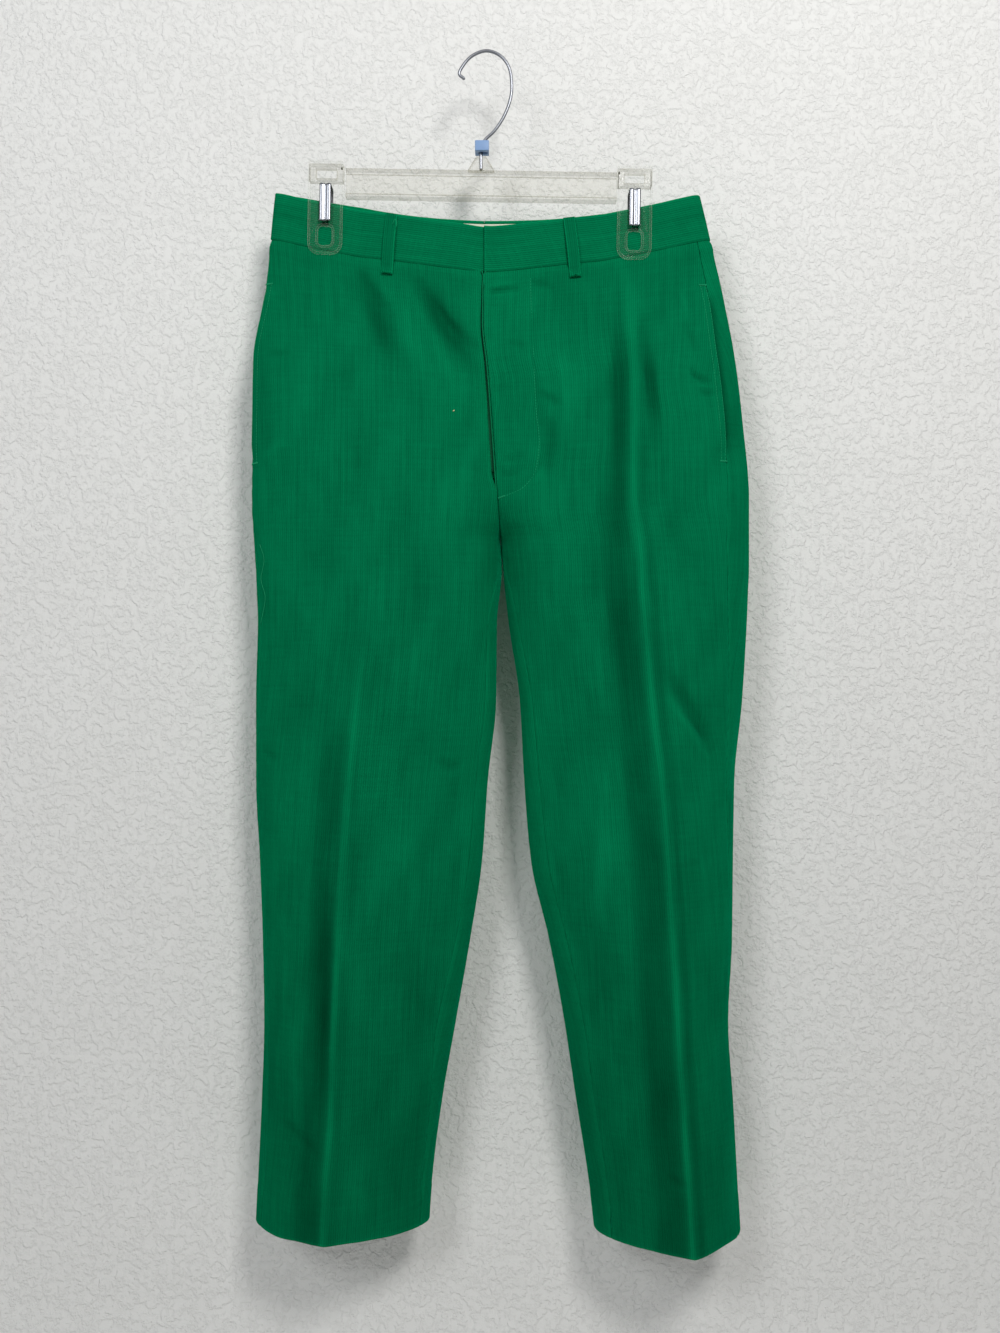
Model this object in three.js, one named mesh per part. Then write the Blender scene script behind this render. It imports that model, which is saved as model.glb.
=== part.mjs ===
// Corduroy trousers hung by the waistband on a clear clip hanger.
// Millimetres, +Z up, the front faces -Y, and the wearer's left is +X.
// The origin is the point under the top of the wire hook where a rail carries it.

import * as THREE from "three";

// Cloth sizes
const PANEL_WALL = 1.5;
const HEM_WALL = 2.8;
const HEM_TURN_UP = 40;
const HEM_BLEND = 6;
const BAND_WALL = 3.0;
const FACING_WALL = 1.0;
const LOOP_WALL = 1.6;
const SEAM_GAP = 0.3;
const HALF_GAP = SEAM_GAP / 2;
const BAND_GAP = 0.5;

// Heights, at the side of the garment, before the waist sags
const BAND_TOP = -143.5;
const WAIST_SEAM = -194;
const FORK = -464;
const INSEAM_TOP = -511;
const HEM = { right: -1210, left: -1218 };

// Sag of the waist between the side folds and the centre, front and back
const SAG = {
  front: { depth: 39.5, centre: 5, power: 1.3 },
  back: { depth: 25.3, centre: 24, power: 2.2 },
};
const SAG_HALF_WIDTH = 236;
const SAG_EVENS = 6;
const SAG_ENDS = -452;
const SAG_BAND_EXTRA = 0.06;
const SAG_FADE = 1.5;

// Grid of a panel: cells from outseam to crease, crease to inner edge, and down the leg
const CELLS_OUTER = 6;
const CELLS_INNER = 8;
const ROWS_SEAT = 11;
const ROWS_FORK = 4;
const ROWS_LEG = 21;
const DENSE = 72;
const CROWDING = 1.25;

// Cells of half a waistband: clip to side fold, clip to centre, and the part under the lap
const BAND_CELLS = { side: 7, middle: 10, lap: 3 };

// Sections of the wearer's right half, which hangs on the -X side
const SECTION_COLUMNS = [
  "z", "outer", "crease", "inner", "frontY", "backCrease", "backY", "outseamIn", "inseamIn",
];
const RIGHT_SECTIONS = [
  [-145, -219.0, -128, -2.5, -8, -110, 7, 0.5, 0],
  [-195, -224.0, -126, -2.5, -10, -108, 9, 0.5, 0],
  [-257, -230.5, -122, -3.0, -20, -106, 20, 0.5, 0],
  [-319, -240.5, -118, 2.0, -30, -106, 30, 0.5, 0],
  [-381, -241.5, -117, 6.0, -37, -107, 38, 0.5, 0],
  [-464, -243.0, -117, 11.5, -42, -108, 44, 1.5, 0],
  [-511, -240.5, -118, 15.0, -44, -110, 45, 3.5, 0],
  [-536, -239.0, -118, 16.0, -44, -111, 45, 4.5, 3],
  [-560, -238.0, -118, 14.0, -45, -112, 45, 5.0, 6],
  [-588, -237.0, -119, 11.0, -45, -113, 45, 5.5, 9],
  [-672, -239.0, -127, 10.0, -45, -116, 44, 5.0, 11],
  [-754, -239.0, -135, 1.5, -46, -121, 44, 4.0, 12],
  [-837, -235.0, -141, -4.5, -47, -123, 44, 4.0, 13],
  [-920, -232.0, -146, -17.0, -48, -127, 45, 5.0, 15],
  [-1003, -230.5, -150, -31.5, -50, -133, 46, 6.0, 19],
  [-1086, -233.0, -152, -46.0, -52, -140, 47, 8.0, 11],
  [-1169, -237.0, -158, -56.5, -54, -147, 48, 9.0, 9],
  [-1220, -239.5, -160, -60.0, -54, -150, 48, 7.0, 8],
];

// Sections of the wearer's left half, which hangs on the +X side
const LEFT_SECTIONS = [
  [-145, 221.5, 148, -2.5, -8, 112, 7, 13.0, 0],
  [-195, 232.5, 150, -2.5, -10, 114, 9, 14.5, 0],
  [-257, 246.0, 149, -3.0, -20, 120, 20, 16.5, 0],
  [-319, 257.5, 148, 2.0, -30, 125, 30, 22, 0],
  [-381, 265.0, 149, 6.0, -37, 130, 38, 23, 0],
  [-464, 272.0, 149, 11.5, -42, 138, 44, 27, 0],
  [-511, 272.0, 155, 15.0, -44, 142, 46, 28, 0],
  [-536, 272.0, 157, 17.0, -45, 144, 46, 27, 3],
  [-560, 271.0, 158, 19.5, -46, 145, 46, 26, 6],
  [-588, 270.0, 160, 22.5, -46, 147, 46, 24, 9],
  [-672, 265.0, 167, 34.5, -47, 150, 45, 18.0, 12],
  [-754, 257.0, 176, 39.0, -48, 150, 45, 12.0, 15],
  [-837, 255.5, 183, 46.0, -50, 153, 45, 7.0, 17],
  [-920, 254.5, 188, 65.0, -52, 161, 46, 4.0, 18],
  [-1003, 250.5, 192, 80.5, -54, 166, 47, 3.0, 19],
  [-1086, 255.5, 197, 93.0, -57, 175, 48, 3.0, 18],
  [-1169, 260.0, 203, 106.0, -60, 184, 50, 4.0, 18],
  [-1220, 263.0, 205, 112.0, -61, 188, 50, 6.0, 15],
];

// How far forward or back the centre seam lies, from the waist under the crotch to the inseams
const RISE_COLUMNS = ["z", "frontY", "backY", "innerY"];
const RISE = [
  [-145, -13, 12, 0],
  [-195, -15, 14, 0],
  [-257, -20, 22, 0],
  [-319, -25, 30, 0],
  [-381, -30, 36, 0],
  [-430, -33, 35, 0],
  [-464, -34, 28, 0],
  [-488, -24, 16, 0],
  [-511, 0, 0, 0],
  [-600, 0, 0, 1],
  [-1220, 0, 0, 2],
];

// Roundness of a section: p at the crease (1 is a sharp fold), q at the side (2 is round)
const ROUND_COLUMNS = ["z", "pOut", "qOut", "pFront", "qFront", "pBack", "qBack"];
const ROUND = [
  [-145, 2.2, 2.2, 2.0, 1.0, 2.0, 1.0],
  [-195, 2.2, 2.2, 2.0, 1.0, 2.0, 1.0],
  [-319, 1.8, 2.1, 2.0, 1.0, 2.0, 1.0],
  [-400, 1.6, 2.0, 2.2, 1.0, 2.4, 1.2],
  [-464, 1.5, 2.0, 3.4, 1.5, 3.6, 1.9],
  [-511, 1.4, 2.0, 4.0, 2.0, 4.0, 2.0],
  [-560, 1.35, 2.0, 2.6, 2.0, 2.6, 2.0],
  [-640, 1.3, 1.9, 1.6, 1.9, 1.6, 1.9],
  [-760, 1.25, 1.9, 1.25, 1.9, 1.25, 1.9],
  [-1220, 1.15, 1.85, 1.15, 1.85, 1.15, 1.85],
];

// Waist held flat in the clips and open between them: distances forward and back of the hanger
const WAIST_COLUMNS = ["toClip", "frontY", "backY"];
const CLIP_X = { right: -165.5, left: 153.5 };
const CLIP_GRIP = 4.0;
const SIDE_FOLD = { depth: 3.9, reach: 14 };
const WAIST = [
  [-60, -5.2, 5.2],
  [-40, -5.0, 5.0],
  [-25, -CLIP_GRIP, CLIP_GRIP],
  [30, -CLIP_GRIP, CLIP_GRIP],
  [58, -8.5, 7.0],
  [100, -13.0, 10.5],
  [165, -15.0, 13.0],
];
const WAIST_FLAT_TO = -214;
const WAIST_FADES = -335;

// Main folds as soft ridges (height over 0) and troughs, from one point to another, per face
const FOLD_COLUMNS = ["x0", "z0", "x1", "z1", "width", "height"];
const FRONT_FOLDS = [
  [-134, -225, -88, -345, 13, -4.0],
  [-80, -225, -6, -350, 13, -4.5],
  [-108, -225, -60, -350, 12, 3.0],
  [148, -230, 150, -400, 9, 4.0],
  [134, -260, 139, -450, 11, -4.0],
  [166, -310, 178, -385, 10, -3.5],
  [122, -530, 145, -700, 14, -4.5],
  [178, -640, 240, -725, 10, 3.5],
  [126, -715, 108, -905, 12, 3.0],
  [-160, -830, -162, -1090, 10, -4.0],
  [76, -310, 84, -385, 8, 2.0],
];
const BACK_FOLDS = [
  [-120, -225, -70, -350, 14, -4.0],
  [110, -225, 60, -350, 14, -4.0],
  [-30, -470, -95, -560, 14, 4.0],
  [40, -470, 105, -565, 14, 4.0],
  [-190, -760, -110, -800, 12, -3.5],
  [205, -740, 130, -790, 12, -3.5],
];

// Folds fade towards a seam, and more towards the doubled cloth of the fly
const SEAM_STIFF = 12;
const FLY_STIFF = 38;

// The lap of the fly: the right edge sinks behind the left one, and stands back from it
const LAP = { sink: 2.2, bandSink: 3.6, reach: 26, bandEnd: 35, fadesOver: 40 };
const LAP_GAP_COLUMNS = ["z", "gap"];
const LAP_GAP = [
  [-195, 1.0],
  [-235, 2.4],
  [-380, 3.6],
  [-440, 4.0],
  [-464, 0],
  [-511, 0],
];
const FLY_SHIELD = { from: -12, to: 36, layer: 6.0, wall: 1.4, top: -199, bottom: -446, cells: 4 };
const ZIP_TAPE = { from: -9, to: 17, layer: 4.4, wall: 0.9, top: -199, bottom: -440, cells: 3 };
const FLY_ROWS = 10;
const ZIP_SLIDER = { x: 2.8, z: -245, width: 8.5, height: 13, layer: 2.1, wall: 1.6 };

const LOOP = { width: 12, top: -144.2, bottom: -210, lift: 0.45, bow: 1.6, cells: 8 };
const LOOPS = {
  belt_loop_front_right: { face: "front", side: "right", x: -99.5, lean: -5 },
  belt_loop_front_left: { face: "front", side: "left", x: 88, lean: 7 },
  belt_loop_back_right: { face: "back", side: "right", x: -118, lean: 2 },
  belt_loop_back_left: { face: "back", side: "left", x: 112, lean: -3 },
};
const FACING = { from: -198, to: 200, top: -145, bottom: -191.5, layer: 3.45, rows: 2 };
const POCKET = { top: -198, bottom: -424, from: 15, to: 42, layer: 2.4, cells: 4, rows: 8 };

// Clip hanger, measured at its middle; the bar hangs a little low at the left side
const HANGER_TILT = THREE.MathUtils.degToRad(0.94);
const HANGER_X = -5.2;
const BAR = { from: -145.2, to: 134.9, top: -124.0, height: 29.5, depth: 9, web: 2, flange: 3.6 };
const CLIP = {
  width: 35.5, top: -118.6, length: 95.8, wall: 3.0, corner: 12, topCorner: 1,
  blockHeight: 18, blockFrom: -3.8, blockTo: 4.0, blockDrop: 1, blockCorner: 0.8, face: 4.35,
};
const CORNER_STEPS = 4;
const CLIP_WINDOW = { width: 14.7, height: 20, below: 76.7, corner: 4.5 };
const CLIP_SLOT = { width: 13.2, height: 5.2, below: 22.2, corner: 0.8 };
const SPRING = { width: 11.6, wall: 1.0, below: 23.0, reach: 38, outer: 8.9, bend: 2.2, steps: 5 };
const WIRE = { diameter: 3.3, sides: 8, steps: 44 };
const SIZER = {
  width: 14.5, depth: 13, top: -93.9, height: 10.5, x: -4.6, holeX: -3.6, hole: [5.0, 2.4], holeSteps: 8,
};
const NECK = {
  x: -5.7, topWidth: 10, footWidth: 27.5, height: 14.5, depth: 7, notch: 4.3, floor: 1.8,
};

const MATERIALS = {
  corduroy: new THREE.MeshStandardMaterial({ color: "#03683f", roughness: 0.92, metalness: 0 }),
  facing: new THREE.MeshStandardMaterial({ color: "#e2e6d2", roughness: 0.9, metalness: 0 }),
  tape: new THREE.MeshStandardMaterial({ color: "#0a4a30", roughness: 0.9, metalness: 0 }),
  brass: new THREE.MeshStandardMaterial({ color: "#b39a5a", roughness: 0.35, metalness: 1 }),
  steel: new THREE.MeshStandardMaterial({ color: "#c9ccd2", roughness: 0.25, metalness: 1 }),
  clear: new THREE.MeshStandardMaterial({
    color: "#eef0e6", roughness: 0.12, metalness: 0, transparent: true, opacity: 0.35,
  }),
  blue: new THREE.MeshStandardMaterial({ color: "#7d9ccf", roughness: 0.4, metalness: 0 }),
};

const SIDES = {
  right: { sign: -1, sections: curves(SECTION_COLUMNS, RIGHT_SECTIONS) },
  left: { sign: 1, sections: curves(SECTION_COLUMNS, LEFT_SECTIONS) },
};
const surfaces = { right: { front: [], back: [] }, left: { front: [], back: [] } };
const rise = curves(RISE_COLUMNS, RISE);
const round = curves(ROUND_COLUMNS, ROUND);
const lapGap = curves(LAP_GAP_COLUMNS, LAP_GAP);
const waist = curves(WAIST_COLUMNS, WAIST);
const frontFolds = rowsOf(FOLD_COLUMNS, FRONT_FOLDS);
const backFolds = rowsOf(FOLD_COLUMNS, BACK_FOLDS);

// One smooth curve per column of a table, over the table's first column, with no overshoot
function curves(columns, table) {
  const order = [...table].sort((a, b) => a[0] - b[0]);
  const at = order.map((row) => row[0]);
  const result = {};
  columns.slice(1).forEach((name, index) => {
    result[name] = smoothCurve(at, order.map((row) => row[index + 1]));
  });
  return result;
}

function smoothCurve(at, value) {
  const last = at.length - 1;
  const step = at.slice(1).map((x, i) => x - at[i]);
  const slope = step.map((width, i) => (value[i + 1] - value[i]) / width);
  const tangent = at.map((_, i) => {
    if (i === 0) return slope[0];
    if (i === last) return slope[last - 1];
    const before = slope[i - 1];
    const after = slope[i];
    return before * after <= 0 ? 0 : (2 * before * after) / (before + after);
  });
  return (x) => {
    const clamped = Math.min(Math.max(x, at[0]), at[last]);
    let i = 0;
    while (i < last - 1 && clamped > at[i + 1]) i += 1;
    const t = (clamped - at[i]) / step[i];
    const rest = 1 - t;
    return value[i] * rest * rest * (1 + 2 * t)
      + tangent[i] * step[i] * t * rest * rest
      + value[i + 1] * t * t * (3 - 2 * t)
      - tangent[i + 1] * step[i] * t * t * rest;
  };
}

function rowsOf(columns, table) {
  return table.map((row) => Object.fromEntries(columns.map((name, i) => [name, row[i]])));
}

function smoothStep(from, to, x) {
  const t = Math.min(Math.max((x - from) / (to - from), 0), 1);
  return t * t * (3 - 2 * t);
}

// Height of a point: the waist sags towards the centre, less and less down to the seat
function sagged(y, x, base) {
  const across = Math.min(Math.abs(x - SAG.front.centre) / SAG_HALF_WIDTH, 1);
  const turned = Math.min(Math.max(0.5 + y / SIDE_FOLD.depth / 2, 0), 1);
  const behind = turned * (1 - across ** SAG_EVENS);
  const sag = sagOf(SAG.front, x) * (1 - behind) + sagOf(SAG.back, x) * behind;
  const over = (base - WAIST_SEAM) / (BAND_TOP - WAIST_SEAM);
  const share = base >= WAIST_SEAM
    ? 1 + SAG_BAND_EXTRA * over
    : Math.max(0, (base - SAG_ENDS) / (WAIST_SEAM - SAG_ENDS)) ** SAG_FADE;
  return base - sag * share;
}

function sagOf({ depth, centre, power }, x) {
  const across = Math.min(Math.abs(x - centre) / SAG_HALF_WIDTH, 1);
  return depth * (1 - across ** power);
}

// Sum of the folds at a point: each one swells along a line and fades at its ends and sides
function foldHeight(folds, x, z) {
  let height = 0;
  folds.forEach((fold) => {
    const alongX = fold.x1 - fold.x0;
    const alongZ = fold.z1 - fold.z0;
    const length = Math.hypot(alongX, alongZ);
    const along = ((x - fold.x0) * alongX + (z - fold.z0) * alongZ) / (length * length);
    const across = ((x - fold.x0) * alongZ - (z - fold.z0) * alongX) / length;
    if (along <= 0 || along >= 1) return;
    height += fold.height * Math.sin(Math.PI * along) * Math.exp(-((across / fold.width) ** 2));
  });
  return height;
}

// Outer face of the cloth at x: a quarter of the section between its crease and its side or centre
function faceY(sideName, face, x, base) {
  const { sign, sections } = SIDES[sideName];
  const isFront = face === "front";
  const crease = isFront ? sections.crease(base) : sections.backCrease(base);
  const creaseY = isFront ? sections.frontY(base) : sections.backY(base);
  const towardsSide = (x - crease) * sign > 0;
  const outer = sections.outer(base);
  const inner = innerX(sideName, base);
  const edgeX = towardsSide ? outer : inner;
  let edgeY = rise.innerY(base);
  let p = isFront ? round.pFront(base) : round.pBack(base);
  let q = isFront ? round.qFront(base) : round.qBack(base);
  if (towardsSide) {
    p = round.pOut(base);
    q = round.qOut(base);
  } else if (base > INSEAM_TOP) {
    edgeY = isFront ? rise.frontY(base) : rise.backY(base);
  }
  const across = Math.min(Math.abs((x - crease) / (edgeX - crease)), 1);
  const section = edgeY + (creaseY - edgeY) * (1 - across ** p) ** (1 / q);
  const held = 1 - smoothStep(-WAIST_FLAT_TO, -WAIST_FADES, -base);
  const y = section + (waistY(sideName, face, x, base) - section) * held;
  const z = sagged(y, x, base);
  const doubled = base > FORK ? FLY_STIFF : SEAM_STIFF;
  const fromOuter = smoothStep(0, SEAM_STIFF, Math.abs(x - outer));
  const fromInner = smoothStep(0, doubled, Math.abs(x - inner));
  const height = foldHeight(isFront ? frontFolds : backFolds, x, z);
  const folds = height * fromOuter * fromInner * (1 - held);
  return y + (isFront ? -folds : folds);
}

// The waist row: round at the side fold, flat in the clip, and open towards the centre
function waistY(sideName, face, x, base) {
  const { sign, sections } = SIDES[sideName];
  const toClip = (CLIP_X[sideName] - x) * sign;
  const open = face === "front" ? waist.frontY(toClip) : waist.backY(toClip);
  const fromSide = Math.min(Math.abs(sections.outer(base) - x) / SIDE_FOLD.reach, 1);
  return open * Math.sqrt(Math.max(0, 1 - (1 - fromSide) ** 2));
}

function innerX(sideName, base) {
  const { sign, sections } = SIDES[sideName];
  return sections.inner(base) + (base >= INSEAM_TOP ? sign * HALF_GAP : 0);
}

// Points of one face between two x values, close together where the section turns round its side
function densePoints(sideName, face, fromX, toX, base) {
  const points = [];
  for (let i = 0; i <= DENSE; i += 1) {
    const t = Math.sin((Math.PI / 2) * (i / DENSE));
    const x = fromX + (toX - fromX) * t;
    points.push([x, faceY(sideName, face, x, base)]);
  }
  return points;
}

// Part of a face's points up to, or from, the x where a seam lies
function splitAt(points, seamX) {
  const index = points.findIndex((point, i) => i > 0
    && (point[0] - seamX) * (points[i - 1][0] - seamX) <= 0);
  if (index < 0) return [points, [points[points.length - 1]]];
  const [x0, y0] = points[index - 1];
  const [x1, y1] = points[index];
  const t = x1 === x0 ? 0 : (seamX - x0) / (x1 - x0);
  const seam = [seamX, y0 + (y1 - y0) * t];
  return [[...points.slice(0, index), seam], [seam, ...points.slice(index)]];
}

// Even points along a polyline, crowded towards its far end
function alongLine(points, cells) {
  const lengths = [0];
  for (let i = 1; i < points.length; i += 1) {
    const [x0, y0] = points[i - 1];
    const [x1, y1] = points[i];
    lengths.push(lengths[i - 1] + Math.hypot(x1 - x0, y1 - y0));
  }
  const total = lengths[lengths.length - 1];
  const result = [];
  for (let i = 0; i <= cells; i += 1) {
    const target = total * (1 - (1 - i / cells) ** CROWDING);
    let j = 1;
    while (j < points.length - 1 && lengths[j] < target) j += 1;
    const span = lengths[j] - lengths[j - 1];
    const t = span > 0 ? (target - lengths[j - 1]) / span : 0;
    const [x0, y0] = points[j - 1];
    const [x1, y1] = points[j];
    result.push([x0 + (x1 - x0) * t, y0 + (y1 - y0) * t]);
  }
  return result;
}

// One row of a panel's outer points, from the outseam over the crease to the inner edge
function panelRow(sideName, face, base) {
  const { sign, sections } = SIDES[sideName];
  const outer = sections.outer(base);
  const inner = innerX(sideName, base);
  const outseamX = outer - sign * sections.outseamIn(base);
  const inseamX = inner + sign * sections.inseamIn(base);
  const frontCrease = sections.crease(base);
  const outerFront = densePoints(sideName, "front", frontCrease, outer, base);
  const innerFront = densePoints(sideName, "front", frontCrease, inner, base);
  const [frontOuter, outerRest] = splitAt(outerFront, outseamX);
  const [frontInner, innerRest] = splitAt(innerFront, inseamX);
  if (face === "front") {
    const outward = alongLine(frontOuter, CELLS_OUTER).reverse();
    const inward = alongLine(frontInner, CELLS_INNER).slice(1);
    return [...outward, ...inward];
  }
  const backCrease = sections.backCrease(base);
  const backOuter = densePoints(sideName, "back", backCrease, outer, base);
  const backInner = densePoints(sideName, "back", backCrease, inner, base);
  const closes = base <= INSEAM_TOP;
  const outerLine = [...backOuter.slice(0, -1), ...[...outerRest].reverse()];
  const innerLine = closes ? [...backInner.slice(0, -1), ...[...innerRest].reverse()] : backInner;
  const outward = alongLine(outerLine, CELLS_OUTER).reverse();
  const inward = alongLine(innerLine, CELLS_INNER).slice(1);
  return [...outward, ...inward];
}

// Heights of the rows: seat, fork to inseam, and leg
function rowHeights(sideName) {
  const heights = [];
  for (let i = 0; i < ROWS_SEAT; i += 1) {
    heights.push(WAIST_SEAM + (FORK - WAIST_SEAM) * (i / ROWS_SEAT));
  }
  for (let i = 0; i < ROWS_FORK; i += 1) {
    heights.push(FORK + (INSEAM_TOP - FORK) * (i / ROWS_FORK));
  }
  for (let i = 0; i <= ROWS_LEG; i += 1) {
    heights.push(INSEAM_TOP + (HEM[sideName] - INSEAM_TOP) * (i / ROWS_LEG));
  }
  return heights;
}

// Direction into the garment at each point of a row, mitred between its two neighbours
function inwardNormals(row, before, after, turn) {
  return row.map((point, i) => {
    const previous = i > 0 ? row[i - 1] : before;
    const next = i < row.length - 1 ? row[i + 1] : after;
    const edges = [];
    if (previous) edges.push([point[0] - previous[0], point[1] - previous[1]]);
    if (next) edges.push([next[0] - point[0], next[1] - point[1]]);
    const normals = edges
      .filter(([dx, dy]) => Math.hypot(dx, dy) > 1e-6)
      .map(([dx, dy]) => [(-turn * dy) / Math.hypot(dx, dy), (turn * dx) / Math.hypot(dx, dy)]);
    const sum = normals.reduce((total, n) => [total[0] + n[0], total[1] + n[1]], [0, 0]);
    const length = Math.hypot(sum[0], sum[1]) || 1;
    const unit = [sum[0] / length, sum[1] / length];
    const cosine = Math.max(0.7, unit[0] * normals[0][0] + unit[1] * normals[0][1]);
    return [unit[0] / cosine, unit[1] / cosine];
  });
}

// Inner points of a row, a wall's thickness in from the outer ones and on their own side
function innerRow(sideName, row, normals, wall, base) {
  const { sign } = SIDES[sideName];
  const limit = innerX(sideName, base);
  return row.map(([x, y], i) => {
    let innerPointX = x + normals[i][0] * wall;
    if (base > INSEAM_TOP && (innerPointX - limit) * sign < 0) innerPointX = limit;
    return [innerPointX, y + normals[i][1] * wall];
  });
}

// Moves a row's end along the row, to leave half a seam gap
function trimmed(row, trimStart, trimEnd) {
  const result = row.map((point) => [...point]);
  const pull = (from, to, amount) => {
    const share = amount / (Math.hypot(to[0] - from[0], to[1] - from[1]) || 1);
    return [from[0] + (to[0] - from[0]) * share, from[1] + (to[1] - from[1]) * share];
  };
  if (trimStart) result[0] = pull(row[0], row[1], trimStart);
  if (trimEnd) result[row.length - 1] = pull(row[row.length - 1], row[row.length - 2], trimEnd);
  return result;
}

// A closed wall between two grids of points of the same size
function wallGeometry(outer, inner) {
  const rows = outer.length;
  const columns = outer[0].length;
  const lastRow = rows - 1;
  const lastColumn = columns - 1;
  const positions = [...outer.flat(), ...inner.flat()].flat();
  const index = [];
  const id = (layer, row, column) => layer * rows * columns + row * columns + column;
  const quad = (a, b, c, d) => index.push(a, b, c, a, c, d);
  for (let i = 0; i < lastRow; i += 1) {
    const k = i + 1;
    for (let j = 0; j < lastColumn; j += 1) {
      quad(id(0, i, j), id(0, k, j), id(0, k, j + 1), id(0, i, j + 1));
      quad(id(1, i, j), id(1, i, j + 1), id(1, k, j + 1), id(1, k, j));
    }
    quad(id(0, i, 0), id(1, i, 0), id(1, k, 0), id(0, k, 0));
    quad(id(0, i, lastColumn), id(0, k, lastColumn), id(1, k, lastColumn), id(1, i, lastColumn));
  }
  for (let j = 0; j < lastColumn; j += 1) {
    const k = j + 1;
    quad(id(0, 0, j), id(0, 0, k), id(1, 0, k), id(1, 0, j));
    quad(id(0, lastRow, j), id(1, lastRow, j), id(1, lastRow, k), id(0, lastRow, k));
  }
  const geometry = new THREE.BufferGeometry();
  geometry.setAttribute("position", new THREE.Float32BufferAttribute(positions, 3));
  geometry.setIndex(signedVolume(positions, index) < 0 ? flipped(index) : index);
  geometry.computeVertexNormals();
  return geometry;
}

function signedVolume(positions, index) {
  const at = (i) => new THREE.Vector3().fromArray(positions, index[i] * 3);
  let volume = 0;
  for (let i = 0; i < index.length; i += 3) {
    volume += at(i).dot(at(i + 1).cross(at(i + 2))) / 6;
  }
  return volume;
}

function flipped(index) {
  const result = [...index];
  for (let i = 0; i < index.length; i += 3) {
    result[i + 1] = index[i + 2];
    result[i + 2] = index[i + 1];
  }
  return result;
}

// The right edge of the fly sinks behind the left one
function lapSink(sideName, x, base, depth) {
  if (sideName !== "right") return 0;
  const inner = innerX("right", base);
  const share = 1 - smoothStep(0, LAP.reach, Math.abs(inner - x));
  const fades = 1 - smoothStep(-FORK - LAP.fadesOver, -FORK, -base);
  return depth * share * fades;
}

// Both panels of one half of the garment
function halfPanels(sideName) {
  const { sign } = SIDES[sideName];
  const grids = { front: [[], []], back: [[], []] };
  rowHeights(sideName).forEach((base) => {
    const closes = base <= INSEAM_TOP;
    const overHem = base - HEM[sideName];
    const hem = smoothStep(HEM_TURN_UP + HEM_BLEND, HEM_TURN_UP - HEM_BLEND, overHem);
    const wall = PANEL_WALL + (HEM_WALL - PANEL_WALL) * hem;
    const rows = {
      front: panelRow(sideName, "front", base),
      back: panelRow(sideName, "back", base),
    };
    ["front", "back"].forEach((face) => {
      const row = rows[face];
      surfaces[sideName][face].push({ base, points: row });
      const other = rows[face === "front" ? "back" : "front"];
      const turn = (face === "front" ? 1 : -1) * -sign;
      const normals = inwardNormals(row, other[1], closes ? other[other.length - 2] : null, turn);
      const inside = innerRow(sideName, row, normals, wall, base);
      const trim = closes ? HALF_GAP : 0;
      const outerRow = trimmed(row, HALF_GAP, trim);
      const insideRow = trimmed(inside, HALF_GAP, trim);
      const gap = face === "front" && sideName === "right" ? lapGap.gap(base) : 0;
      const place = ([x, y], i) => {
        const sunk = face === "front" ? lapSink(sideName, x, base, LAP.sink) : 0;
        const back = gap * (1 - smoothStep(0, LAP.reach, Math.abs(innerX(sideName, base) - x)));
        return [x + sign * back, y + sunk, sagged(row[i][1], row[i][0], base)];
      };
      grids[face][0].push(outerRow.map(place));
      grids[face][1].push(insideRow.map(place));
    });
  });
  return grids;
}

// The flat-faced surface of a panel or band at x: between its two nearest rows of points
function surfaceY(sideName, face, x, base) {
  const rows = surfaces[sideName][face];
  let i = 0;
  while (i < rows.length - 2 && rows[i + 1].base > base) i += 1;
  const [above, below] = [rows[i], rows[i + 1]];
  const t = Math.min(Math.max((above.base - base) / (above.base - below.base), 0), 1);
  return rowY(above.points, x) * (1 - t) + rowY(below.points, x) * t;
}

function rowY(points, x) {
  const index = points.findIndex((point, i) => i > 0
    && (point[0] - x) * (points[i - 1][0] - x) <= 0);
  if (index < 0) {
    const [first, last] = [points[0], points[points.length - 1]];
    return Math.abs(first[0] - x) < Math.abs(last[0] - x) ? first[1] : last[1];
  }
  const [x0, y0] = points[index - 1];
  const [x1, y1] = points[index];
  return x1 === x0 ? y1 : y0 + ((y1 - y0) * (x - x0)) / (x1 - x0);
}

// Points on a face at a row of x values, moved in by a depth (or out, if under 0)
function layerRow(face, xs, base, depth, sideAt) {
  const inwards = face === "front" ? 1 : -1;
  return xs.map((x) => {
    const sideName = sideAt || (x < innerX("right", base) ? "right" : "left");
    const y = surfaceY(sideName, face, x, base);
    const [before, after] = [x - 1, x + 1].map((near) => surfaceY(sideName, face, near, base));
    const slope = (after - before) / 2;
    const length = Math.hypot(1, slope);
    return [
      x - (inwards * depth * slope) / length,
      y + (inwards * depth) / length,
      sagged(y, x, base),
    ];
  });
}

function spread(from, to, cells) {
  return Array.from({ length: cells + 1 }, (_, i) => from + ((to - from) * i) / cells);
}

// A strip that lies on or under a face: its x range, its heights, its layer and its wall
function stripGeometry(face, xsAt, bases, layer, wall, sideAt) {
  const outer = bases.map((base) => layerRow(face, xsAt(base), base, layer, sideAt));
  const inner = bases.map((base) => layerRow(face, xsAt(base), base, layer + wall, sideAt));
  return wallGeometry(outer, inner);
}

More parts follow.
